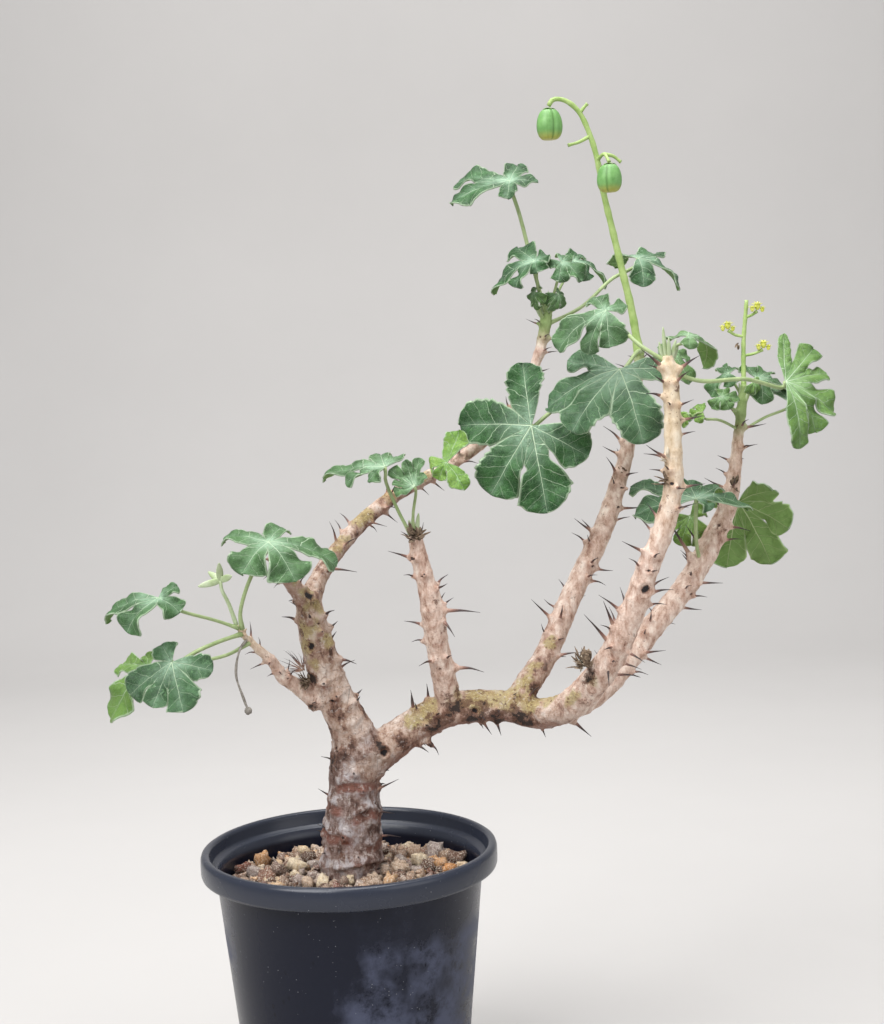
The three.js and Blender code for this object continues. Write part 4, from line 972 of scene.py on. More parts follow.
class LeafShape:
    """Surface of a palmate blade: fans of lobes round a hub, joined by a web."""

    def __init__(self, leaf, phase, fold, wave, tooth):
        hub, face, _, self.lobes = leaf[:4]
        self.hub = Vector(hub)
        self.normal = Vector(face).normalized()
        self.across = (Vector((1, 0, 0)) - self.normal * self.normal.x).normalized()
        self.along = self.normal.cross(self.across)
        self.phase, self.fold, self.wave, self.tooth = phase, fold, wave, tooth
        count = len(self.lobes)
        self.gaps = [(self.lobes[(k + 1) % count][0] - self.lobes[k][0]) % 360 for k in range(count)]
        widest = max(self.gaps)
        self.webs = []
        for k, gap in enumerate(self.gaps):
            if gap == widest and gap > OPEN_GAP:
                self.webs.append(None)
                continue
            angle = math.radians(self.lobes[k][0] + gap / 2)
            share = WEB_REACH + WEB_MORE * max(0, 1 - gap / WIDE_GAP)
            reach = share * min(self.lobes[k][1], self.lobes[(k + 1) % count][1])
            self.webs.append(self.hub + self.flat(angle) * reach - self.normal * 0.04 * reach)

    def flat(self, angle):
        """Direction in the plane of the hub."""
        return self.across * math.cos(angle) + self.along * math.sin(angle)

    def place(self, k, u, v):
        """Point of lobe k at u from -1 to 1 across it and v from 0 to 1 along it."""
        degrees, length, half_width, droop = self.lobes[k]
        rows = LARGE_ROWS if length > SMALL_LOBE else SMALL_ROWS
        heading = self.flat(math.radians(degrees))
        sideways = self.normal.cross(heading)
        bend = math.radians(droop) or 1e-3
        side = 1 if u > 0 else -1
        web = self.webs[k] if side > 0 else self.webs[k - 1]
        gap = self.gaps[k] if side > 0 else self.gaps[k - 1]
        inner = v < WEB_VIEW
        t = (v - WEB_VIEW) / (1 - WEB_VIEW)
        share = rows[0] * v / WEB_VIEW if inner else rows[0] + (1 - rows[0]) * (1 - (1 - t) ** 1.5)

        def rib(at):
            ahead = length * math.sin(bend * at) / bend
            return self.hub + heading * ahead - self.normal * length * (1 - math.cos(bend * at)) / bend

        def edge(at):
            outline = at ** 0.95 * max(0.0, 1 - at ** 3.6) ** 0.55 / 0.6
            teeth = at * max(3.5, length / 4.0) + 0.37 * k + 0.21 * side
            saw = teeth % 1.0
            point = saw ** 0.8 if saw < 0.78 else (1 - saw) / 0.22
            depth = self.tooth * (0.45 + 1.1 * scatter(math.floor(teeth) + 5.1 * k + side + self.phase))
            width = half_width * outline * (1 + depth * (point - 0.4) * smooth(0.3, 0.5, at))
            width *= 1 + 0.09 * math.sin(9 * at + self.phase + 2 * k + side)
            if gap < 170:
                neck = 1 - 0.32 * math.exp(-((at - 0.44) / 0.075) ** 2) if length > 44 else 1
                limit = 0.98 * neck * length * math.sin(bend * at) / bend * math.tan(math.radians(gap / 2))
                width = min(width, limit)
            row = next((i for i, value in enumerate(rows) if value >= at), len(rows) - 1)
            if row:
                row -= (rows[row] - min(at, rows[row])) / (rows[row] - rows[row - 1])
            lift = (self.fold + self.wave * math.sin(self.phase + row * 2.3 + k * 1.9 + side)) * width
            ripple = math.sin(at * 12 + self.phase + 2.1 * k + 1.3 * side) * smooth(0.3, 0.65, at)
            return width, lift + 0.17 * half_width * ripple

        middle = rib(share)
        size = abs(u)
        up = self.normal * math.cos(bend * share) + heading * math.sin(bend * share)
        width, lift = edge(share)
        outer = middle + sideways * side * width + up * lift
        if web is not None:
            if inner:
                outer = self.hub.lerp(web, v / WEB_VIEW)
            else:
                start_width, start_lift = edge(rows[0])
                start_up = self.normal * math.cos(bend * rows[0]) + heading * math.sin(bend * rows[0])
                start = rib(rows[0]) + sideways * side * start_width + start_up * start_lift
                outer += (web - start) * (1 - smooth(0.0, 0.3, t))
        elif inner:
            outer = self.hub.lerp(outer, v / WEB_VIEW)
        point = middle.lerp(outer, size)
        across = (outer - middle).length * size
        run = length * share
        ridge = math.cos(2 * math.pi * (run - 0.75 * across + 0.01 * across ** 2) / VEIN_STEP)
        quilt = (0.07 * width + 0.24 * (1 - ridge)) * math.sin(math.pi * size) * smooth(0.1, 0.35, share)
        crumple = noise.noise(point * 0.11) * 0.9 + noise.noise(point * 0.4) * 0.2
        point += up * (quilt + crumple * smooth(0.0, 0.3, v)) - self.normal * 0.15
        return point, {"rib": across, "run": run, "ahead": length - run, "rim": u}


def blade(bm, leaf, index, settings):
    """Lobes of a leaf as grids joined at the hub, thickened into one closed blade."""
    shape = LeafShape(leaf, index * 1.3, settings.fold, settings.wave, settings.tooth)
    sheet_mesh = new_bmesh()
    layers = {name: sheet_mesh.verts.layers.float.new(name) for name in LOBE_MARKS}
    for k in range(len(leaf[3])):

        def note(vert, u, v, k=k):
            for name, value in shape.place(k, 2 * u - 1, v)[1].items():
                vert[layers[name]] = value

        sheet(sheet_mesh, settings.columns, settings.rows,
              lambda u, v, k=k: shape.place(k, 2 * u - 1, v)[0], note)
    bmesh.ops.remove_doubles(sheet_mesh, verts=sheet_mesh.verts, dist=2e-6)
    bmesh.ops.dissolve_degenerate(sheet_mesh, edges=sheet_mesh.edges, dist=1e-6)
    bmesh.ops.recalc_face_normals(sheet_mesh, faces=sheet_mesh.faces)
    sheet_mesh.normal_update()
    if sum((face.normal * face.calc_area() for face in sheet_mesh.faces), Vector()).dot(shape.normal) < 0:
        bmesh.ops.reverse_faces(sheet_mesh, faces=sheet_mesh.faces)

    def setup(helper):
        solid = helper.modifiers.new("thickness", "SOLIDIFY")
        solid.thickness = settings.thickness
        solid.offset = 0
        solid.material_offset = 1
        for _ in range(3):
            helper.data.materials.append(None)

    baked(sheet_mesh, setup, bm)
    return shape


def leaf_stalk(bm, leaf, shape):
    """Round stalk from inside the stem to the underside of the hub."""
    radius = leaf[4]
    route = Route(list(leaf[2]) + [shape.hub - shape.normal * 3.5, shape.hub - shape.normal * 0.25])
    before = len(bm.faces)

    def radius_at(share):
        swell = 0.35 * (1 - smooth(0.0, 0.16, share)) + 0.2 * smooth(0.93, 1.0, share)
        return radius * (0.88 + swell)

    tube(bm, route, 10, max(10, int(route.length / 2.5)), radius_at)
    bm.faces.ensure_lookup_table()
    for face in bm.faces[before:]:
        face.material_index = 2


def even_marks(bm, values):
    """Gives every vertex the same number in each named attribute."""
    for name, value in values.items():
        layer = bm.verts.layers.float.new(name)
        for vert in bm.verts:
            vert[layer] = value


# Wood

# band and under also carry painted shade and highlight into the bark colour
WOOD_MARKS = ("age", "green", "scar", "band", "blush", "stain", "moss", "under")
SCAR_REACH = 9.0
LARGE_SCAR = 2.0


def nearest_wood():
    """Tree of points along every branch, with the branch, share, distance and radius of each."""
    notes = []
    for name, route in ROUTES.items():
        count = int(route.length)
        for i in range(count + 1):
            share = i / count
            notes.append((route.at(share), name, share, share * route.length, route.radius(share)))
    return point_tree([note[0] for note in notes]), notes


def point_tree(points):
    tree = kdtree.KDTree(len(points))
    for i, point in enumerate(points):
        tree.insert(point, i)
    tree.balance()
    return tree


def node_count(name, spacing=NODE_STEP):
    """Number of nodes on a branch, each with a pair of spines and a leaf scar."""
    first, last = SPINE_RULES[name][:2]
    return max(1, int((last - first) * ROUTES[name].length / spacing + 0.5))


def spine_row(name, spacing, shift):
    """Roots, tips and root radii of a branch's spines, in pairs that climb in a spiral."""
    first, last, shortest, longest, radius = SPINE_RULES[name]
    route = ROUTES[name]
    count = node_count(name, spacing)
    frames = route.frames(RING_STEPS)
    row = []
    for i in range(count):
        share = first + (last - first) * (i + 0.5 + shift) / count
        ring = min(RING_STEPS, int(share * RING_STEPS + 0.5))
        centre, tangent, normal, binormal = frames[ring]
        for side in (-1, 1):
            seed = i * 7.3 + side * 1.7 + route.length + shift * 31
            angle = i * GOLDEN_TURN + shift * 4 + side * (0.5 + 0.2 * scatter(seed))
            outward = binormal * math.cos(angle) + normal * math.sin(angle)
            root = centre + outward * route.radius(min(1.0, share)) * 0.92
            length = shortest + (longest - shortest) * scatter(seed + 3)
            outward = (outward + tangent * (0.1 + 0.5 * scatter(seed + 5))).normalized()
            row.append((root, root + outward * (length + 1), radius))
    return row


def all_spines(settings):
    spines = []
    for name in SPINE_RULES:
        spines += spine_row(name, settings.spacing / MM, 0.0)
        spines += [(root, root.lerp(tip, 0.72), radius * 0.85)
                   for root, tip, radius in spine_row(name, settings.spacing / MM, 0.5)]
    spines += [(Vector(root), Vector(tip), 1.35) for root, tip in MARKED_SPINES]
    spines += [(Vector(root), Vector(tip), 1.1) for root, tip in SLENDER_SPINES]
    return spines


def tuft_spines():
    """Thin dead spines that stand out of one place on the left branch."""
    centre, direction, count = TUFT
    thin = []
    for i in range(count):
        spread = Vector([2 * scatter(3.7 * i + axis) - 1 for axis in range(3)])
        root = Vector(centre) + spread * 1.8
        ahead = (Vector(direction) + spread * 0.7).normalized()
        thin.append((root, root + ahead * (6 + 6 * scatter(i)), 0.34))
    return thin


def trunk_ridge(point):
    """Height of the trunk's ridges, and 1 in the red band below a ridge, partly painted shade, to -1 in the
    bloom above, partly painted highlight.
    """
    around = math.degrees(math.atan2(point.y, point.x - 2))
    height = band = 0.0
    for level, facing, span, size in TRUNK_RIDGES:
        fade = 1 - smooth(0.6 * span, span, abs((around - facing + 180) % 360 - 180))
        place = Vector((point.x, point.y, level))
        rise = point.z - level - 4.5 * noise.noise(place * 0.085)
        ragged = 0.35 + 0.9 * smooth(-0.35, 0.4, noise.noise(place * 0.13 + Vector((4, 1, 8))))
        height += 0.85 * fade * ragged * size * math.exp(-(rise / (3.0 if rise > 0 else 1.0)) ** 2)
        red = fade * smooth(132, 140, level)
        band += red * (smooth(-6.5, -4.5, rise) - smooth(-1.2, 0.2, rise))
        band -= fade * (smooth(-0.4, 0.6, rise) - smooth(2.5, 6, rise))
    return height, max(-1.0, min(1.0, band))


def bark_relief(point, name, along, radius):
    """Height of the bark over the smooth stem, and which band of a trunk ridge it is in."""
    first, last = SPINE_RULES[name][:2]
    length = ROUTES[name].length
    step = (last - first) * length / node_count(name)
    thick = smooth(5, 13, radius)
    height = noise.fractal(point * 0.11, 0.9, 2.1, 4) * (0.35 + 0.6 * thick)
    height += noise.noise(Vector((point.x * 0.5, point.y * 0.5, point.z * 1.3))) * (0.12 + 0.15 * thick)
    height -= abs(noise.noise(point * 0.24 + Vector((9, 2, 5)))) * 0.5 * thick
    if name == "trunk":
        ridge, band = trunk_ridge(point)
        return height + ridge, band
    wander = 0.4 * noise.noise(point * 0.055)
    turn = 2 * math.pi * (2 * (along - first * length) / step - 1 + wander)
    partial = smooth(-0.1, 0.35, noise.noise(point * 0.055 + Vector((1, 7, 3))))
    swelling = 1.5 * partial * (1 - along / length) if name == "left_twig" else 0.25 + 0.8 * thick * partial
    return height + math.exp(3.2 * (math.cos(turn) - 1)) * swelling, 0.0


def inside(size, distance):
    """1 in the middle of a spot of a size to 0 outside it."""
    return 1 - smooth(0.3 * size, 1.5 * size, distance)


def bark_at(point, tree, notes):
    """Relief, ridge band, age and green of the bark, blended over the branches near a point."""
    near = tree.find_n(point, 14)
    best = {}
    for _, index, distance in near:
        best.setdefault(notes[index][1], (index, math.exp(near[0][2] - distance)))
    total = sum(weight for _, weight in best.values())
    height = band = age = green = 0.0
    for index, weight in best.values():
        _, name, share, along, radius = notes[index]
        start, end, green_from = BARK_AGE[name]
        relief = bark_relief(point, name, along, radius)
        weight /= total
        height += weight * relief[0]
        band += weight * relief[1]
        age += weight * (start + (end - start) * share)
        green += weight * smooth(green_from, green_from + 0.07, share)
    return height, band, age, green


def scar_at(point, tree, scars):
    """How deep in a scar a point is, from 0 to 1, and the height of the lip round a large one."""
    scar = lip = 0.0
    for centre, i, distance in tree.find_range(point, SCAR_REACH):
        size = scars[i][1]
        if size < LARGE_SCAR:
            distance = math.hypot(distance, 1.6 * (point.z - centre.z))
        else:
            lip += 0.9 * math.exp(-((distance - 1.4 * size) / (0.35 * size)) ** 2)
        scar = max(scar, inside(size, distance))
    return scar, lip


def node_scars():
    """Dark leaf scars between the spines of a pair, as centre and size, beside the listed scars."""
    scars = [(Vector(centre), size) for centre, size in SCARS]
    for name, (first, last, *_) in SPINE_RULES.items():
        route = ROUTES[name]
        count = node_count(name)
        frames = route.frames(RING_STEPS)
        for i in range(2 * count):
            share = first + (last - first) * (i / 2 + 0.5) / count
            if share > 1 or scatter(i * 3.1 + route.length) < 0.45:
                continue
            centre, _, normal, binormal = frames[int(share * RING_STEPS + 0.5)]
            angle = i / 2 * GOLDEN_TURN + 2.2 * scatter(i + 40)
            outward = binormal * math.cos(angle) + normal * math.sin(angle)
            scars.append((centre + outward * route.radius(share), 0.7 + 0.9 * scatter(i * 1.7)))
    return scars


def wood_solid(settings):
    """All branches and spine roots as one closed mesh."""
    bm = bmesh.new()
    for name, route in ROUTES.items():
        tube(bm, route, 26, int(route.length / 2), route.radius)
    for root, tip, radius in all_spines(settings):
        direction = (tip - root).normalized()
        turn = Vector((0, 0, 1)).rotation_difference(direction).to_matrix().to_4x4()
        place = Matrix.Translation((root + direction * 0.7) * MM) @ turn
        bmesh.ops.create_cone(bm, cap_ends=True, segments=12, radius1=radius * 2.4 * MM,
                              radius2=radius * 1.05 * MM, depth=4.6 * MM, matrix=place)
    bmesh.ops.recalc_face_normals(bm, faces=bm.faces)

    def setup(helper):
        remesh = helper.modifiers.new("skin", "REMESH")
        remesh.mode = "VOXEL"
        remesh.voxel_size = settings.voxel

    wood = baked(bm, setup, bmesh.new())
    for _ in range(3):
        bmesh.ops.smooth_vert(wood, verts=wood.verts, factor=0.5,
                              use_axis_x=True, use_axis_y=True, use_axis_z=True)
    return wood


# Settings

def length_setting(name, description, default):
    return FloatProperty(name=name, description=description, default=default, unit="LENGTH")


def power_setting(name, description, default):
    return FloatProperty(name=name, description=description, default=default, unit="POWER")


def colour_setting(name, description, default):
    return FloatVectorProperty(name=name, description=description, default=default, subtype="COLOR")


class PotSettings(bpy.types.PropertyGroup):
    height: length_setting("Height", "Height of the pot", 0.14)
    rim_radius: length_setting("Rim radius", "Outer radius of the lip", 0.075)
    shoulder_radius: length_setting("Shoulder radius", "Radius just under the lip", 0.0673)
    base_radius: length_setting("Base radius", "Radius at the foot", 0.054)
    wall: length_setting("Wall", "Thickness of the wall", 0.0018)
    colour: colour_setting("Colour", "Colour of the plastic", (0.008, 0.0098, 0.02))


class GravelSettings(bpy.types.PropertyGroup):
    grains: IntProperty(name="Grains", description="Number of grains tried", default=1500)
    seed: IntProperty(name="Seed", description="Seed of the grain layout", default=7)
    edge_height: length_setting("Edge height", "Height of the gravel at the pot's wall", 0.122)
    mound: length_setting("Mound", "Rise of the gravel at the trunk", 0.006)


class WoodSettings(bpy.types.PropertyGroup):
    voxel: length_setting("Voxel", "Cell size of the joined wood", 0.00093)
    spacing: length_setting("Spine spacing", "Distance between pairs of spines", NODE_STEP * MM)


class LeafSettings(bpy.types.PropertyGroup):
    thickness: length_setting("Thickness", "Thickness of a blade", 0.0006)
    columns: IntProperty(name="Columns", description="Faces across a lobe", default=12)
    rows: IntProperty(name="Rows", description="Faces along a lobe", default=50)
    fold: FloatProperty(name="Fold", description="Lift of the margins over the midrib", default=0.14)
    wave: FloatProperty(name="Wave", description="Wave of the margins", default=0.16)
    tooth: FloatProperty(name="Tooth", description="Depth of the marginal teeth", default=0.13)
    deep: colour_setting("Deep green", "Darkest green of the blade", (0.005, 0.04, 0.006))
    middle: colour_setting("Middle green", "Usual green of the blade", (0.022, 0.105, 0.016))


class FruitSettings(bpy.types.PropertyGroup):
    pale: colour_setting("Pale green", "Light green of the capsules", (0.2, 0.42, 0.13))
    dark: colour_setting("Dark green", "Shaded green of the capsules", (0.11, 0.27, 0.07))
    stalk_pale: colour_setting("Pale stalk", "Light green of fruit and flower stalks", (0.42, 0.55, 0.2))
    stalk_dark: colour_setting("Dark stalk", "Shaded green of fruit and flower stalks", (0.26, 0.4, 0.1))


class StageSettings(bpy.types.PropertyGroup):
    floor_colour: colour_setting("Floor", "Colour of floor and backdrop", (0.53, 0.515, 0.5))
    key_power: power_setting("Key light", "Power of the main light", 28.0)
    fill_power: power_setting("Fill light", "Power of the fill light", 6.0)
    sky: FloatProperty(name="Sky", description="Strength of the even light from all sides", default=0.43)


# Operators

class PLANT_OT_pot(bpy.types.Operator):
    """Turn the nursery pot with its rolled rim and drain holes"""
    bl_idname = "plant.pot"
    bl_label = "Pot"

    HOLES = 8
    HOLE_RADIUS = 0.004
    HOLE_RING = 0.043

    def execute(self, context):
        pot = context.scene.plant_pot
        height, rim, shoulder, base, wall = (value / MM for value in (
            pot.height, pot.rim_radius, pot.shoulder_radius, pot.base_radius, pot.wall))
        shelf = height - 12

        def inner(level):
            return base - wall + (shoulder - base) * level / shelf

        profile = [
            (0, 0), (base - 3, 0), (base - 1, 0.5), (base - 0.2, 2),
            (base + (shoulder - base) * 0.33, shelf * 0.33),
            (base + (shoulder - base) * 0.66, shelf * 0.66),
            (shoulder - 0.1, shelf - 1.5), (shoulder + 0.4, shelf - 0.2), (rim - 1.6, shelf + 0.4),
            (rim - 0.5, shelf + 1.1), (rim - 0.1, shelf + 2.4), (rim, shelf + 6),
            (rim - 0.15, height - 2.4), (rim - 0.7, height - 0.8), (rim - 1.8, height - 0.1),
            (rim - 3.4, height), (rim - 4.4, height - 0.7), (rim - 4.9, height - 2),
            (rim - 5.1, height - 6.4), (rim - 5.5, height - 7.2),
            (inner(shelf) + 1.6, height - 7.9), (inner(shelf) + 0.5, height - 8.6),
            (inner(shelf), shelf - 2), (inner(shelf * 0.5), shelf * 0.5), (inner(4), 4.2),
            (inner(3) - 1.5, 2.5), (inner(2) - 3, 2.2), (0, 2.2),
        ]
        bm = new_bmesh()
        turned(bm, profile, 120)
        bmesh.ops.recalc_face_normals(bm, faces=bm.faces)
        drill = bmesh.new()
        for i in range(self.HOLES):
            centre = spoke((i + 0.5) / self.HOLES) * self.HOLE_RING + Vector((0, 0, MM))
            bmesh.ops.create_cone(drill, cap_ends=True, segments=32, radius1=self.HOLE_RADIUS,
                                  radius2=self.HOLE_RADIUS, depth=0.008, matrix=Matrix.Translation(centre))
        cutter = placed("drill", mesh_of(drill, "drill"))

        def setup(helper):
            cut = helper.modifiers.new("drain holes", "BOOLEAN")
            cut.operation = "DIFFERENCE"
            cut.solver = "EXACT"
            cut.object = cutter

        shell = baked(bm, setup, bmesh.new())
        bpy.data.meshes.remove(cutter.data)
        finish_object(shell, "pot_shell", [black_plastic(tuple(pot.colour))], ["pot"], outward=False)
        return {"FINISHED"}


def stone_shape(number):
    """Mesh of one angular stone with worn edges, about two units wide."""
    stone = bmesh.new()
    bmesh.ops.create_cube(stone, size=1.5)
    bmesh.ops.subdivide_edges(stone, edges=stone.edges, cuts=2, use_grid_fill=True)
    for vert in stone.verts:
        ball = vert.co.normalized()
        vert.co = vert.co.lerp(ball, 0.45)
        vert.co *= (1 + 0.45 * noise.noise(ball * 1.6 + Vector((number * 9.1, 0, 0)))
                    + 0.5 * noise.noise(ball * 3.7 + Vector((0, number * 5.3, 0))))
    return mesh_of(stone, "stone")


class PLANT_OT_gravel(bpy.types.Operator):
    """Fill the pot and cover the filling with loose grains"""
    bl_idname = "plant.gravel"
    bl_label = "Gravel"

    STONE_SHAPES = 16
    MOUND_RADIUS = 62.0
    INNER_RING, OUTER_RING = 15.5, 62.5  # where centres of grains are tried
    TRUNK_SIDE, WALL_SIDE = 14.5, 63.4  # where grains end at the trunk and at the pot's wall
    HIGHEST = 6.4  # rise over the edge where no grain is laid any more

    def execute(self, context):
        gravel = context.scene.plant_gravel
        edge, mound = gravel.edge_height / MM, gravel.mound / MM

        def surface(x, y):
            share = max(0.0, 1 - math.hypot(x, y) / self.MOUND_RADIUS)
            bumps = 1.2 * noise.noise(Vector((x, y, 0)) * 0.06)
            return edge + mound * share ** 1.3 + bumps

        bm = new_bmesh()
        rows = 26
        profile = [(0, 2.6), (49, 2.6), (51.9, 7), (63.9, edge - 3)]
        profile += [(63.6 * (1 - i / rows), edge - 1.5) for i in range(rows)]
        profile.append((0, edge - 1.5))
        turned(bm, profile, 72)
        for vert in bm.verts:
            if vert.co.z > (edge - 2) * MM:
                x, y = vert.co.x / MM, vert.co.y / MM
                vert.co.z = (surface(x, y) - 1.6 + 0.5 * noise.noise(Vector((x, y, 5)) * 0.5)) * MM
        stops = [(0.3, (0.02, 0.013, 0.01)), (0.55, (0.08, 0.05, 0.035)), (0.8, (0.3, 0.21, 0.15))]
        soil = one_grain("soil_between_grains", (1400, 5, 0.75), stops,
                         roughness=0.95, relief=(0.0012, 1.0), specular=0.2)
        finish_object(bm, "substrate_fill", [soil], ["substrate"])

        draw = random.Random(gravel.seed)
        templates = [stone_shape(i) for i in range(self.STONE_SHAPES)]
        laid = []
        pebbles = bmesh.new()
        layer = pebbles.verts.layers.float.new("tint")
        for i in range(gravel.grains):
            if i < len(MARKED_STONES):
                x, y, size, tint = MARKED_STONES[i]
            else:
                size = next(usual for end, usual in GRAIN_SIZES if i < end) * (0.72 + 0.56 * draw.random())
                inner, outer = self.INNER_RING ** 2, self.OUTER_RING ** 2
                reach = math.sqrt(inner + (outer - inner) * draw.random())
                angle = 2 * math.pi * draw.random()
                x, y = reach * math.cos(angle), reach * math.sin(angle)
                tint = draw.random() ** 1.15
            reach = math.hypot(x, y)
            if reach + size * 0.8 > self.WALL_SIDE or reach - size * 0.5 < self.TRUNK_SIDE:
                continue
            if surface(x, y) > edge + self.HIGHEST:
                continue
            if any((x - a) ** 2 + (y - b) ** 2 < (0.6 * (size + c)) ** 2 for a, b, c in laid):
                continue
            laid.append((x, y, size))
            start = len(pebbles.verts)
            pebbles.from_mesh(templates[i % len(templates)])
            pebbles.verts.ensure_lookup_table()
            made = pebbles.verts[start:]
            turn = Matrix.Rotation(6 * draw.random(), 4, "Z") @ Matrix.Rotation(2 * draw.random(), 4, "X")
            shape = Matrix.Diagonal((size * (0.85 + 0.35 * draw.random()), size * 0.95,
                                     size * (0.6 + 0.35 * draw.random()), 1))
            stand = 0.5 if i < len(MARKED_STONES) else 0.1
            level = surface(x, y) + size * stand - 1.0 + 1.2 * draw.random()
            place = Matrix.Translation(Vector((x, y, level)) * MM) @ turn @ Matrix.Scale(MM, 4) @ shape
            bmesh.ops.transform(pebbles, matrix=place, verts=made)
            for vert in made:
                vert[layer] = tint
        for mesh in templates:
            bpy.data.meshes.remove(mesh)
        finish_object(pebbles, "gravel", [gravel_grains()], outward=False)
        return {"FINISHED"}


class PLANT_OT_wood(bpy.types.Operator):
    """Join the branches into one stem with ridged and scarred bark"""
    bl_idname = "plant.wood"
    bl_label = "Wood"

    def execute(self, context):
        settings = context.scene.plant_wood
        wood = wood_solid(settings)
        wood_tree, notes = nearest_wood()
        layers = [wood.verts.layers.float.new(name) for name in WOOD_MARKS]
        wood.normal_update()
        scars = node_scars()
        scar_tree = point_tree([centre for centre, _ in scars])
        root_tree = point_tree([root for root, _, _ in all_spines(settings)])
        moves = []
        for vert in wood.verts:
            point = vert.co / MM
            height, band, age, green = bark_at(point, wood_tree, notes)
            scar, lip = scar_at(point, scar_tree, scars)
            moves.append(vert.normal * (height + lip - 0.45 - 1.3 * scar) * MM)
            blush = 1 - smooth(1.2, 3.6, root_tree.find(point)[2])
            # Downward-facing bark: the bark colour paints it darker red-brown, partly as painted shade
            under = smooth(0.0, -0.8, vert.normal.z) * smooth(0.62, 0.72, age)
            fray = 3.5 * noise.noise(point * 0.2)
            stain, moss = (
                max(inside(size, (point - Vector(centre)).length + fray) for centre, size in zones)
                for zones in (STAINS, MOSS))
            moss *= smooth(-0.7, 0.15, vert.normal.z)
            for layer, value in zip(layers, (age, green, scar, band, blush, stain, moss, under)):
                vert[layer] = value
        for vert, move in zip(wood.verts, moves):
            vert.co += move
        finish_object(wood, "stem_wood", [old_and_young_bark()], ["stem"])
        return {"FINISHED"}


class PLANT_OT_spines(bpy.types.Operator):
    """Set the spines on the bark, clear of the leaves"""
    bl_idname = "plant.spines"
    bl_label = "Spines"

    def execute(self, context):
        settings = context.scene.plant_wood
        blades = [piece for piece in context.scene.objects if piece.name.startswith("grown_")]
        near = point_tree([vert.co for piece in blades for vert in piece.data.vertices])
        bm = new_bmesh()
        for number, (root, tip, radius) in enumerate(all_spines(settings) + tuft_spines()):
            samples = [root.lerp(tip, part) * MM for part in (0.35, 0.6, 0.8, 1.0)]
            if any(near.find(sample)[2] < 2.2 * MM for sample in samples):
                continue
            sway = Vector((scatter(number) - 0.5, scatter(number + 9) - 0.5, scatter(number + 17) - 0.2))
            middle = root.lerp(tip, 0.5) + sway * 1.1
            inner = root - (tip - root).normalized() * 1.5
            route = Route([inner, root.lerp(middle, 0.3), middle, tip])
            tube(bm, route, 8, 8, lambda v, r=radius: r * (0.07 + 0.95 * (1 - v) ** 1.3))
        finish_object(bm, "spines", [spine_thorn()])
        return {"FINISHED"}


class PLANT_OT_leaves(bpy.types.Operator):
    """Grow every leaf, its lobed blade and its stalk"""
    bl_idname = "plant.leaves"
    bl_label = "Leaves"

    def execute(self, context):
        settings = context.scene.plant_leaf
        looks = [leaf_upper(tuple(settings.deep), tuple(settings.middle)), leaf_lower(),
                 green_stalk("leaf_stalk", (0.38, 0.47, 0.23), (0.24, 0.33, 0.13))]
        for index, (name, leaf) in enumerate({**LEAVES, **SMALL_LEAVES}.items()):
            bm = new_bmesh()
            shape = blade(bm, leaf, index, settings)
            leaf_stalk(bm, leaf, shape)
            even_marks(bm, {"bloom": leaf[5], "youth": leaf[6]})
            replaced = [name] if name in LEAVES else []
            finish_object(bm, "grown_" + name, looks, replaced, outward=False)
        return {"FINISHED"}


class PLANT_OT_shoot(bpy.types.Operator):
    """Grow the young shoot of the left twig and the pale buds at the tips"""
    bl_idname = "plant.shoot"
    bl_label = "Young shoot"

    def execute(self, context):
        bm = new_bmesh()
        tube(bm, Route(SHOOT_ROUTE), 10, 14, lambda v: 1.1 - 0.3 * v)
        top = Vector(SHOOT_ROUTE[-1])
        for tip in SHOOT_TIPS:
            ahead = Vector(tip) - top
            flat_bud(bm, top - ahead.normalized(), ahead, ahead.length + 1.5, half_width=1.7, curl=1.8,
                     thick=0.3, facing=(0.2, -1, 0.1), cells=(14, 14))
        for foot, tip in YOUNG_BUDS:
            ahead = Vector(tip) - Vector(foot)
            flat_bud(bm, foot, ahead, ahead.length, half_width=1.15, curl=0.8,
                     thick=0.6, facing=(0.3, -0.9, 0.1), cells=(12, 12))
        look = green_stalk("young_leaf", (0.52, 0.6, 0.4), (0.36, 0.46, 0.22))
        finish_object(bm, "shoot_young_leaves", [look], ["shoot_left"])
        return {"FINISHED"}


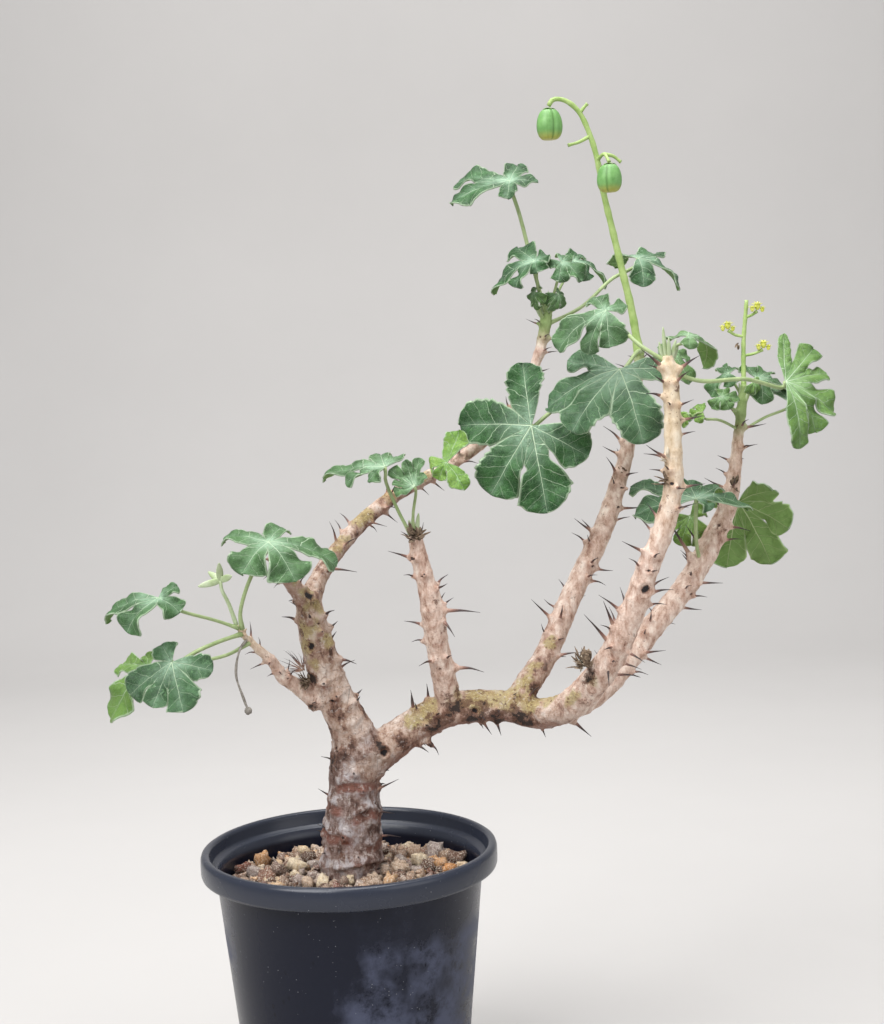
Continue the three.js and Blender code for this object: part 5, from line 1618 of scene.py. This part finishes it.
class PLANT_OT_stalks(bpy.types.Operator):
    """Draw the fruit stalk, the flower stalk and the dead stalk"""
    bl_idname = "plant.stalks"
    bl_label = "Stalks"

    def execute(self, context):
        fruit = context.scene.plant_fruit
        look = green_stalk("fruit_stalk_skin", tuple(fruit.stalk_pale), tuple(fruit.stalk_dark))
        bm = new_bmesh()
        tube(bm, Route(FRUIT_STALK_ROUTE), 16, 90,
             lambda v: 2.1 - 1.0 * v + 0.2 * math.sin(40 * v) ** 8 + 0.7 * (1 - smooth(0, 0.08, v)))
        for stub in FRUIT_STUBS:
            tube(bm, Route(stub), 10, 10, lambda v: 1.05 - 0.35 * v + 0.3 * smooth(0.8, 1.0, v))
        finish_object(bm, "fruit_stalk_grown", [look], ["fruit_stalk"])

        bm = new_bmesh()
        tube(bm, Route(FLOWER_STALK_ROUTE), 12, 30, lambda v: 1.3 - 0.35 * v + 0.2 * math.sin(22 * v) ** 6)
        for pedicel in PEDICELS:
            tube(bm, Route(pedicel), 8, 8, lambda v: 0.75 + 0.25 * smooth(0.7, 1.0, v))
        finish_object(bm, "flower_stalk_grown", [look], ["flower_stalk"])

        bm = new_bmesh()
        tube(bm, Route(DRY_STALK_ROUTE), 8, 26, lambda v: 0.62 + 0.12 * math.sin(17 * v))
        ball = bmesh.ops.create_icosphere(bm, subdivisions=2, radius=1.9 * MM,
                                          matrix=Matrix.Translation(Vector(DRY_STALK_ROUTE[-1]) * MM))
        for vert in ball["verts"]:
            vert.co += Vector((0, 0, 1)) * 0.6 * MM * noise.noise(vert.co * 900)
        dead = one_grain("dead_stalk", (350, 4, 0.7), [(0.3, (0.16, 0.14, 0.12)), (0.7, (0.4, 0.37, 0.33))],
                         roughness=0.9, relief=(0.0005, 0.8), specular=0.2)
        finish_object(bm, "dry_stalk_hanging", [dead], ["dry_stalk"])
        return {"FINISHED"}


class PLANT_OT_capsules(bpy.types.Operator):
    """Hang the ribbed seed capsules"""
    bl_idname = "plant.capsules"
    bl_label = "Seed capsules"

    def execute(self, context):
        fruit = context.scene.plant_fruit
        look = capsule_skin(tuple(fruit.pale), tuple(fruit.dark))
        stalk = green_stalk("capsule_cup", (0.22, 0.36, 0.12), (0.13, 0.22, 0.06))
        for name, (centre, radius, height, turn) in CAPSULES.items():
            bm = new_bmesh()
            rise = bm.verts.layers.float.new("height")
            groove = bm.verts.layers.float.new("groove")
            body = bmesh.ops.create_uvsphere(bm, u_segments=60, v_segments=32, radius=1.0, calc_uvs=True)
            for vert in body["verts"]:
                x, y, z = vert.co
                angle = math.atan2(y, x) + turn
                suture = abs(math.cos(1.5 * angle))
                seam = abs(math.cos(3 * angle))
                lobes = 0.84 + 0.17 * suture ** 0.5 + 0.02 * min(1.0, seam * 3)
                waist = (1 - 0.08 * z) * max(0.15, 1 - z * z) ** -0.16
                vert[rise] = 0.5 + 0.5 * z
                # groove: depth in a suture or seam, which the skin paints darker as shade
                vert[groove] = max(1 - smooth(0.0, 0.22, suture), 0.3 - 0.3 * smooth(0.0, 0.2, seam))
                reach = radius * lobes * waist
                dent = 1 - 0.08 * math.exp(-(x * x + y * y) * 8)
                vert.co = (Vector(centre) + Vector((x * reach, y * reach, z * height / 2 * dent))) * MM
            cup = len(bm.faces)
            head = Vector(centre) + Vector((0, 0, height / 2 - 0.7))
            for k in range(5):
                flat_bud(bm, head + Vector((0, 0, 0.6)), spoke(k / 5, 0.3), 3.3, half_width=1.0, curl=-1.6,
                         facing=(0, 0, 1))
            bm.faces.ensure_lookup_table()
            for face in bm.faces[cup:]:
                face.material_index = 1
            finish_object(bm, "ripe_" + name, [look, stalk], [name])
        return {"FINISHED"}


class PLANT_OT_flowers(bpy.types.Operator):
    """Open the small five-petalled flowers"""
    bl_idname = "plant.flowers"
    bl_label = "Flowers"

    def execute(self, context):
        look = one_grain("petals", (400, 3), [(0.3, (0.62, 0.66, 0.07)), (0.7, (0.82, 0.82, 0.22))],
                         roughness=0.55, relief=(0.0003, 0.5), specular=0.3)
        for number, (name, centre) in enumerate(FLOWERS.items()):
            bm = new_bmesh()
            for shift, size in (((0, 0, 0), 1.0), ((-2.7, -0.6, -1.5), 0.75), ((2.5, -0.4, -1.9), 0.7)):
                middle = Vector(centre) + Vector(shift)
                cup = Route([middle + Vector((0, 0, rise * size)) for rise in (-2.4, 0, 0.8)])
                tube(bm, cup, 10, 8, lambda v, s=size: s * (0.7 + 0.9 * math.sin(math.pi * v * 0.7)))
                for k in range(10):
                    rise, length, wide = (0.55, 3.0, 1.15) if k % 2 else (1.8, 2.6, 0.35)
                    flat_bud(bm, middle + Vector((0, 0, 0.2)), spoke(k / 10 + 0.06 * number, rise),
                             length * size, wide * size, curl=-0.9 * size, thick=0.22, facing=(0, 0, 1))
            finish_object(bm, "open_" + name, [look], [name])
        return {"FINISHED"}


class PLANT_OT_bracts(bpy.types.Operator):
    """Add the dry bracts and buds at old growing points"""
    bl_idname = "plant.bracts"
    bl_label = "Dry bracts"

    def execute(self, context):
        draw = random.Random(11)
        for name, table, dark, pale in (
            ("dry_bracts", BRACTS, (0.045, 0.028, 0.02), (0.36, 0.27, 0.19)),
            ("pale_dry_buds", PALE_BUDS, (0.5, 0.42, 0.3), (0.78, 0.72, 0.6)),
        ):
            bm = new_bmesh()
            for centre, size, count, direction in table:
                direction = Vector(direction).normalized()
                for _ in range(count):
                    lean = Vector([draw.uniform(-1, 1) for _ in range(3)])
                    root = Vector(centre) - direction * 1.5 + lean * size * 0.25
                    flat_bud(bm, root, direction + lean * 0.75, size * draw.uniform(0.6, 1.25),
                             half_width=0.22 * size, curl=draw.uniform(-0.4, 0.5) * size)
            look = one_grain(name, (500, 4, 0.7), [(0.36, dark), (0.62, pale)],
                             roughness=0.85, relief=(0.0006, 0.8), specular=0.2)
            finish_object(bm, name, [look])
        return {"FINISHED"}


def studio_floor(colour):
    """Sheet of paper that bends up behind the plant."""
    front, bend, rise, top, half_width = -3.2, 1.3, 0.8, 3.2, 3.0
    profile = [(front, 0.0), (bend, 0.0)]
    profile += [(bend + rise * math.sin(a), rise * (1 - math.cos(a)))
                for a in (math.pi / 2 * i / 12 for i in range(1, 13))]
    profile.append((bend + rise, top))
    bm = bmesh.new()
    verts = [bm.verts.new((-half_width, y, z)) for y, z in profile]
    edges = [bm.edges.new(pair) for pair in zip(verts, verts[1:])]
    swept = bmesh.ops.extrude_edge_only(bm, edges=edges)["geom"]
    bmesh.ops.translate(bm, vec=(2 * half_width, 0, 0),
                        verts=[item for item in swept if isinstance(item, bmesh.types.BMVert)])
    floor = placed("studio_floor", mesh_of(bm, "studio_floor"))
    floor.data.shade_smooth()
    floor.data.materials.append(studio_paper("studio_paper", colour))


def studio_lights(stage):
    """Soft lights on the plant and the paper, and even light from all sides."""
    plant, wall = (0.06, 0, 0.26), (0.1, 2.0, 0.35)
    for name, place, goal, size, power in (
        ("key_light", (-0.7, -1.0, 1.5), plant, 1.1, stage.key_power),
        ("fill_light", (1.2, -1.0, 0.9), plant, 1.2, stage.fill_power),
        ("top_light", (0.0, -0.1, 1.6), plant, 0.9, 2.4 * stage.fill_power),
        ("wall_light", (0.1, 0.6, 1.7), wall, 1.6, 3.2 * stage.fill_power),
    ):
        light = bpy.data.lights.new(name, "AREA")
        light.shape = "SQUARE"
        light.size = size
        light.energy = power
        lamp = placed(name, light)
        lamp.location = place
        lamp.rotation_euler = (Vector(goal) - Vector(place)).to_track_quat("-Z", "Y").to_euler()

    world = bpy.data.worlds.new("even_light")
    world.use_nodes = True
    background = world.node_tree.nodes["Background"]
    background.inputs["Color"].default_value = (0.95, 0.96, 1.0, 1)
    background.inputs["Strength"].default_value = stage.sky
    bpy.context.scene.world = world
    bpy.context.scene.view_settings.view_transform = "Standard"


def photo_camera():
    """Camera at the photo's viewing angle."""
    pitch_down, roll = math.radians(4.52), math.radians(2.0)
    optics = bpy.data.cameras.new("camera")
    optics.lens = 57.66
    optics.sensor_width = 36.0
    camera = placed("camera", optics)
    turn = Matrix.Rotation(math.pi / 2 - pitch_down, 4, "X") @ Matrix.Rotation(-roll, 4, "Z")
    camera.matrix_world = Matrix.Translation((0.0529, -0.8163, 0.3716)) @ turn
    bpy.context.scene.camera = camera


class PLANT_OT_stage(bpy.types.Operator):
    """Set the plain floor, the soft lights and the camera"""
    bl_idname = "plant.stage"
    bl_label = "Stage"

    def execute(self, context):
        stage = context.scene.plant_stage
        studio_floor(tuple(stage.floor_colour))
        studio_lights(stage)
        photo_camera()
        return {"FINISHED"}


class PLANT_PT_panel(bpy.types.Panel):
    """Sidebar panel that builds the potted plant"""
    bl_label = "Potted Jatropha"
    bl_idname = "PLANT_PT_panel"
    bl_space_type = "VIEW_3D"
    bl_region_type = "UI"
    bl_category = "Plant"

    def draw(self, context):
        for operator in OPERATORS:
            self.layout.operator(operator.bl_idname)
        for group in SETTINGS:
            box = self.layout.box()
            settings = getattr(context.scene, group)
            for name in settings.bl_rna.properties.keys():
                if name not in {"rna_type", "name"}:
                    box.prop(settings, name)


SETTINGS = {
    "plant_pot": PotSettings, "plant_gravel": GravelSettings, "plant_wood": WoodSettings,
    "plant_leaf": LeafSettings, "plant_fruit": FruitSettings, "plant_stage": StageSettings,
}
OPERATORS = (
    PLANT_OT_stage, PLANT_OT_pot, PLANT_OT_gravel, PLANT_OT_leaves, PLANT_OT_shoot, PLANT_OT_stalks,
    PLANT_OT_capsules, PLANT_OT_flowers, PLANT_OT_wood, PLANT_OT_spines, PLANT_OT_bracts,
)


def register():
    for group in (*SETTINGS.values(), *OPERATORS, PLANT_PT_panel):
        bpy.utils.register_class(group)
    for name, group in SETTINGS.items():
        setattr(bpy.types.Scene, name, PointerProperty(type=group))


def unregister():
    for name in SETTINGS:
        delattr(bpy.types.Scene, name)
    for group in reversed((*SETTINGS.values(), *OPERATORS, PLANT_PT_panel)):
        bpy.utils.unregister_class(group)


def main():
    register()
    for operator in OPERATORS:
        group, name = operator.bl_idname.split(".")
        getattr(getattr(bpy.ops, group), name)()


if __name__ == "__main__":
    main()
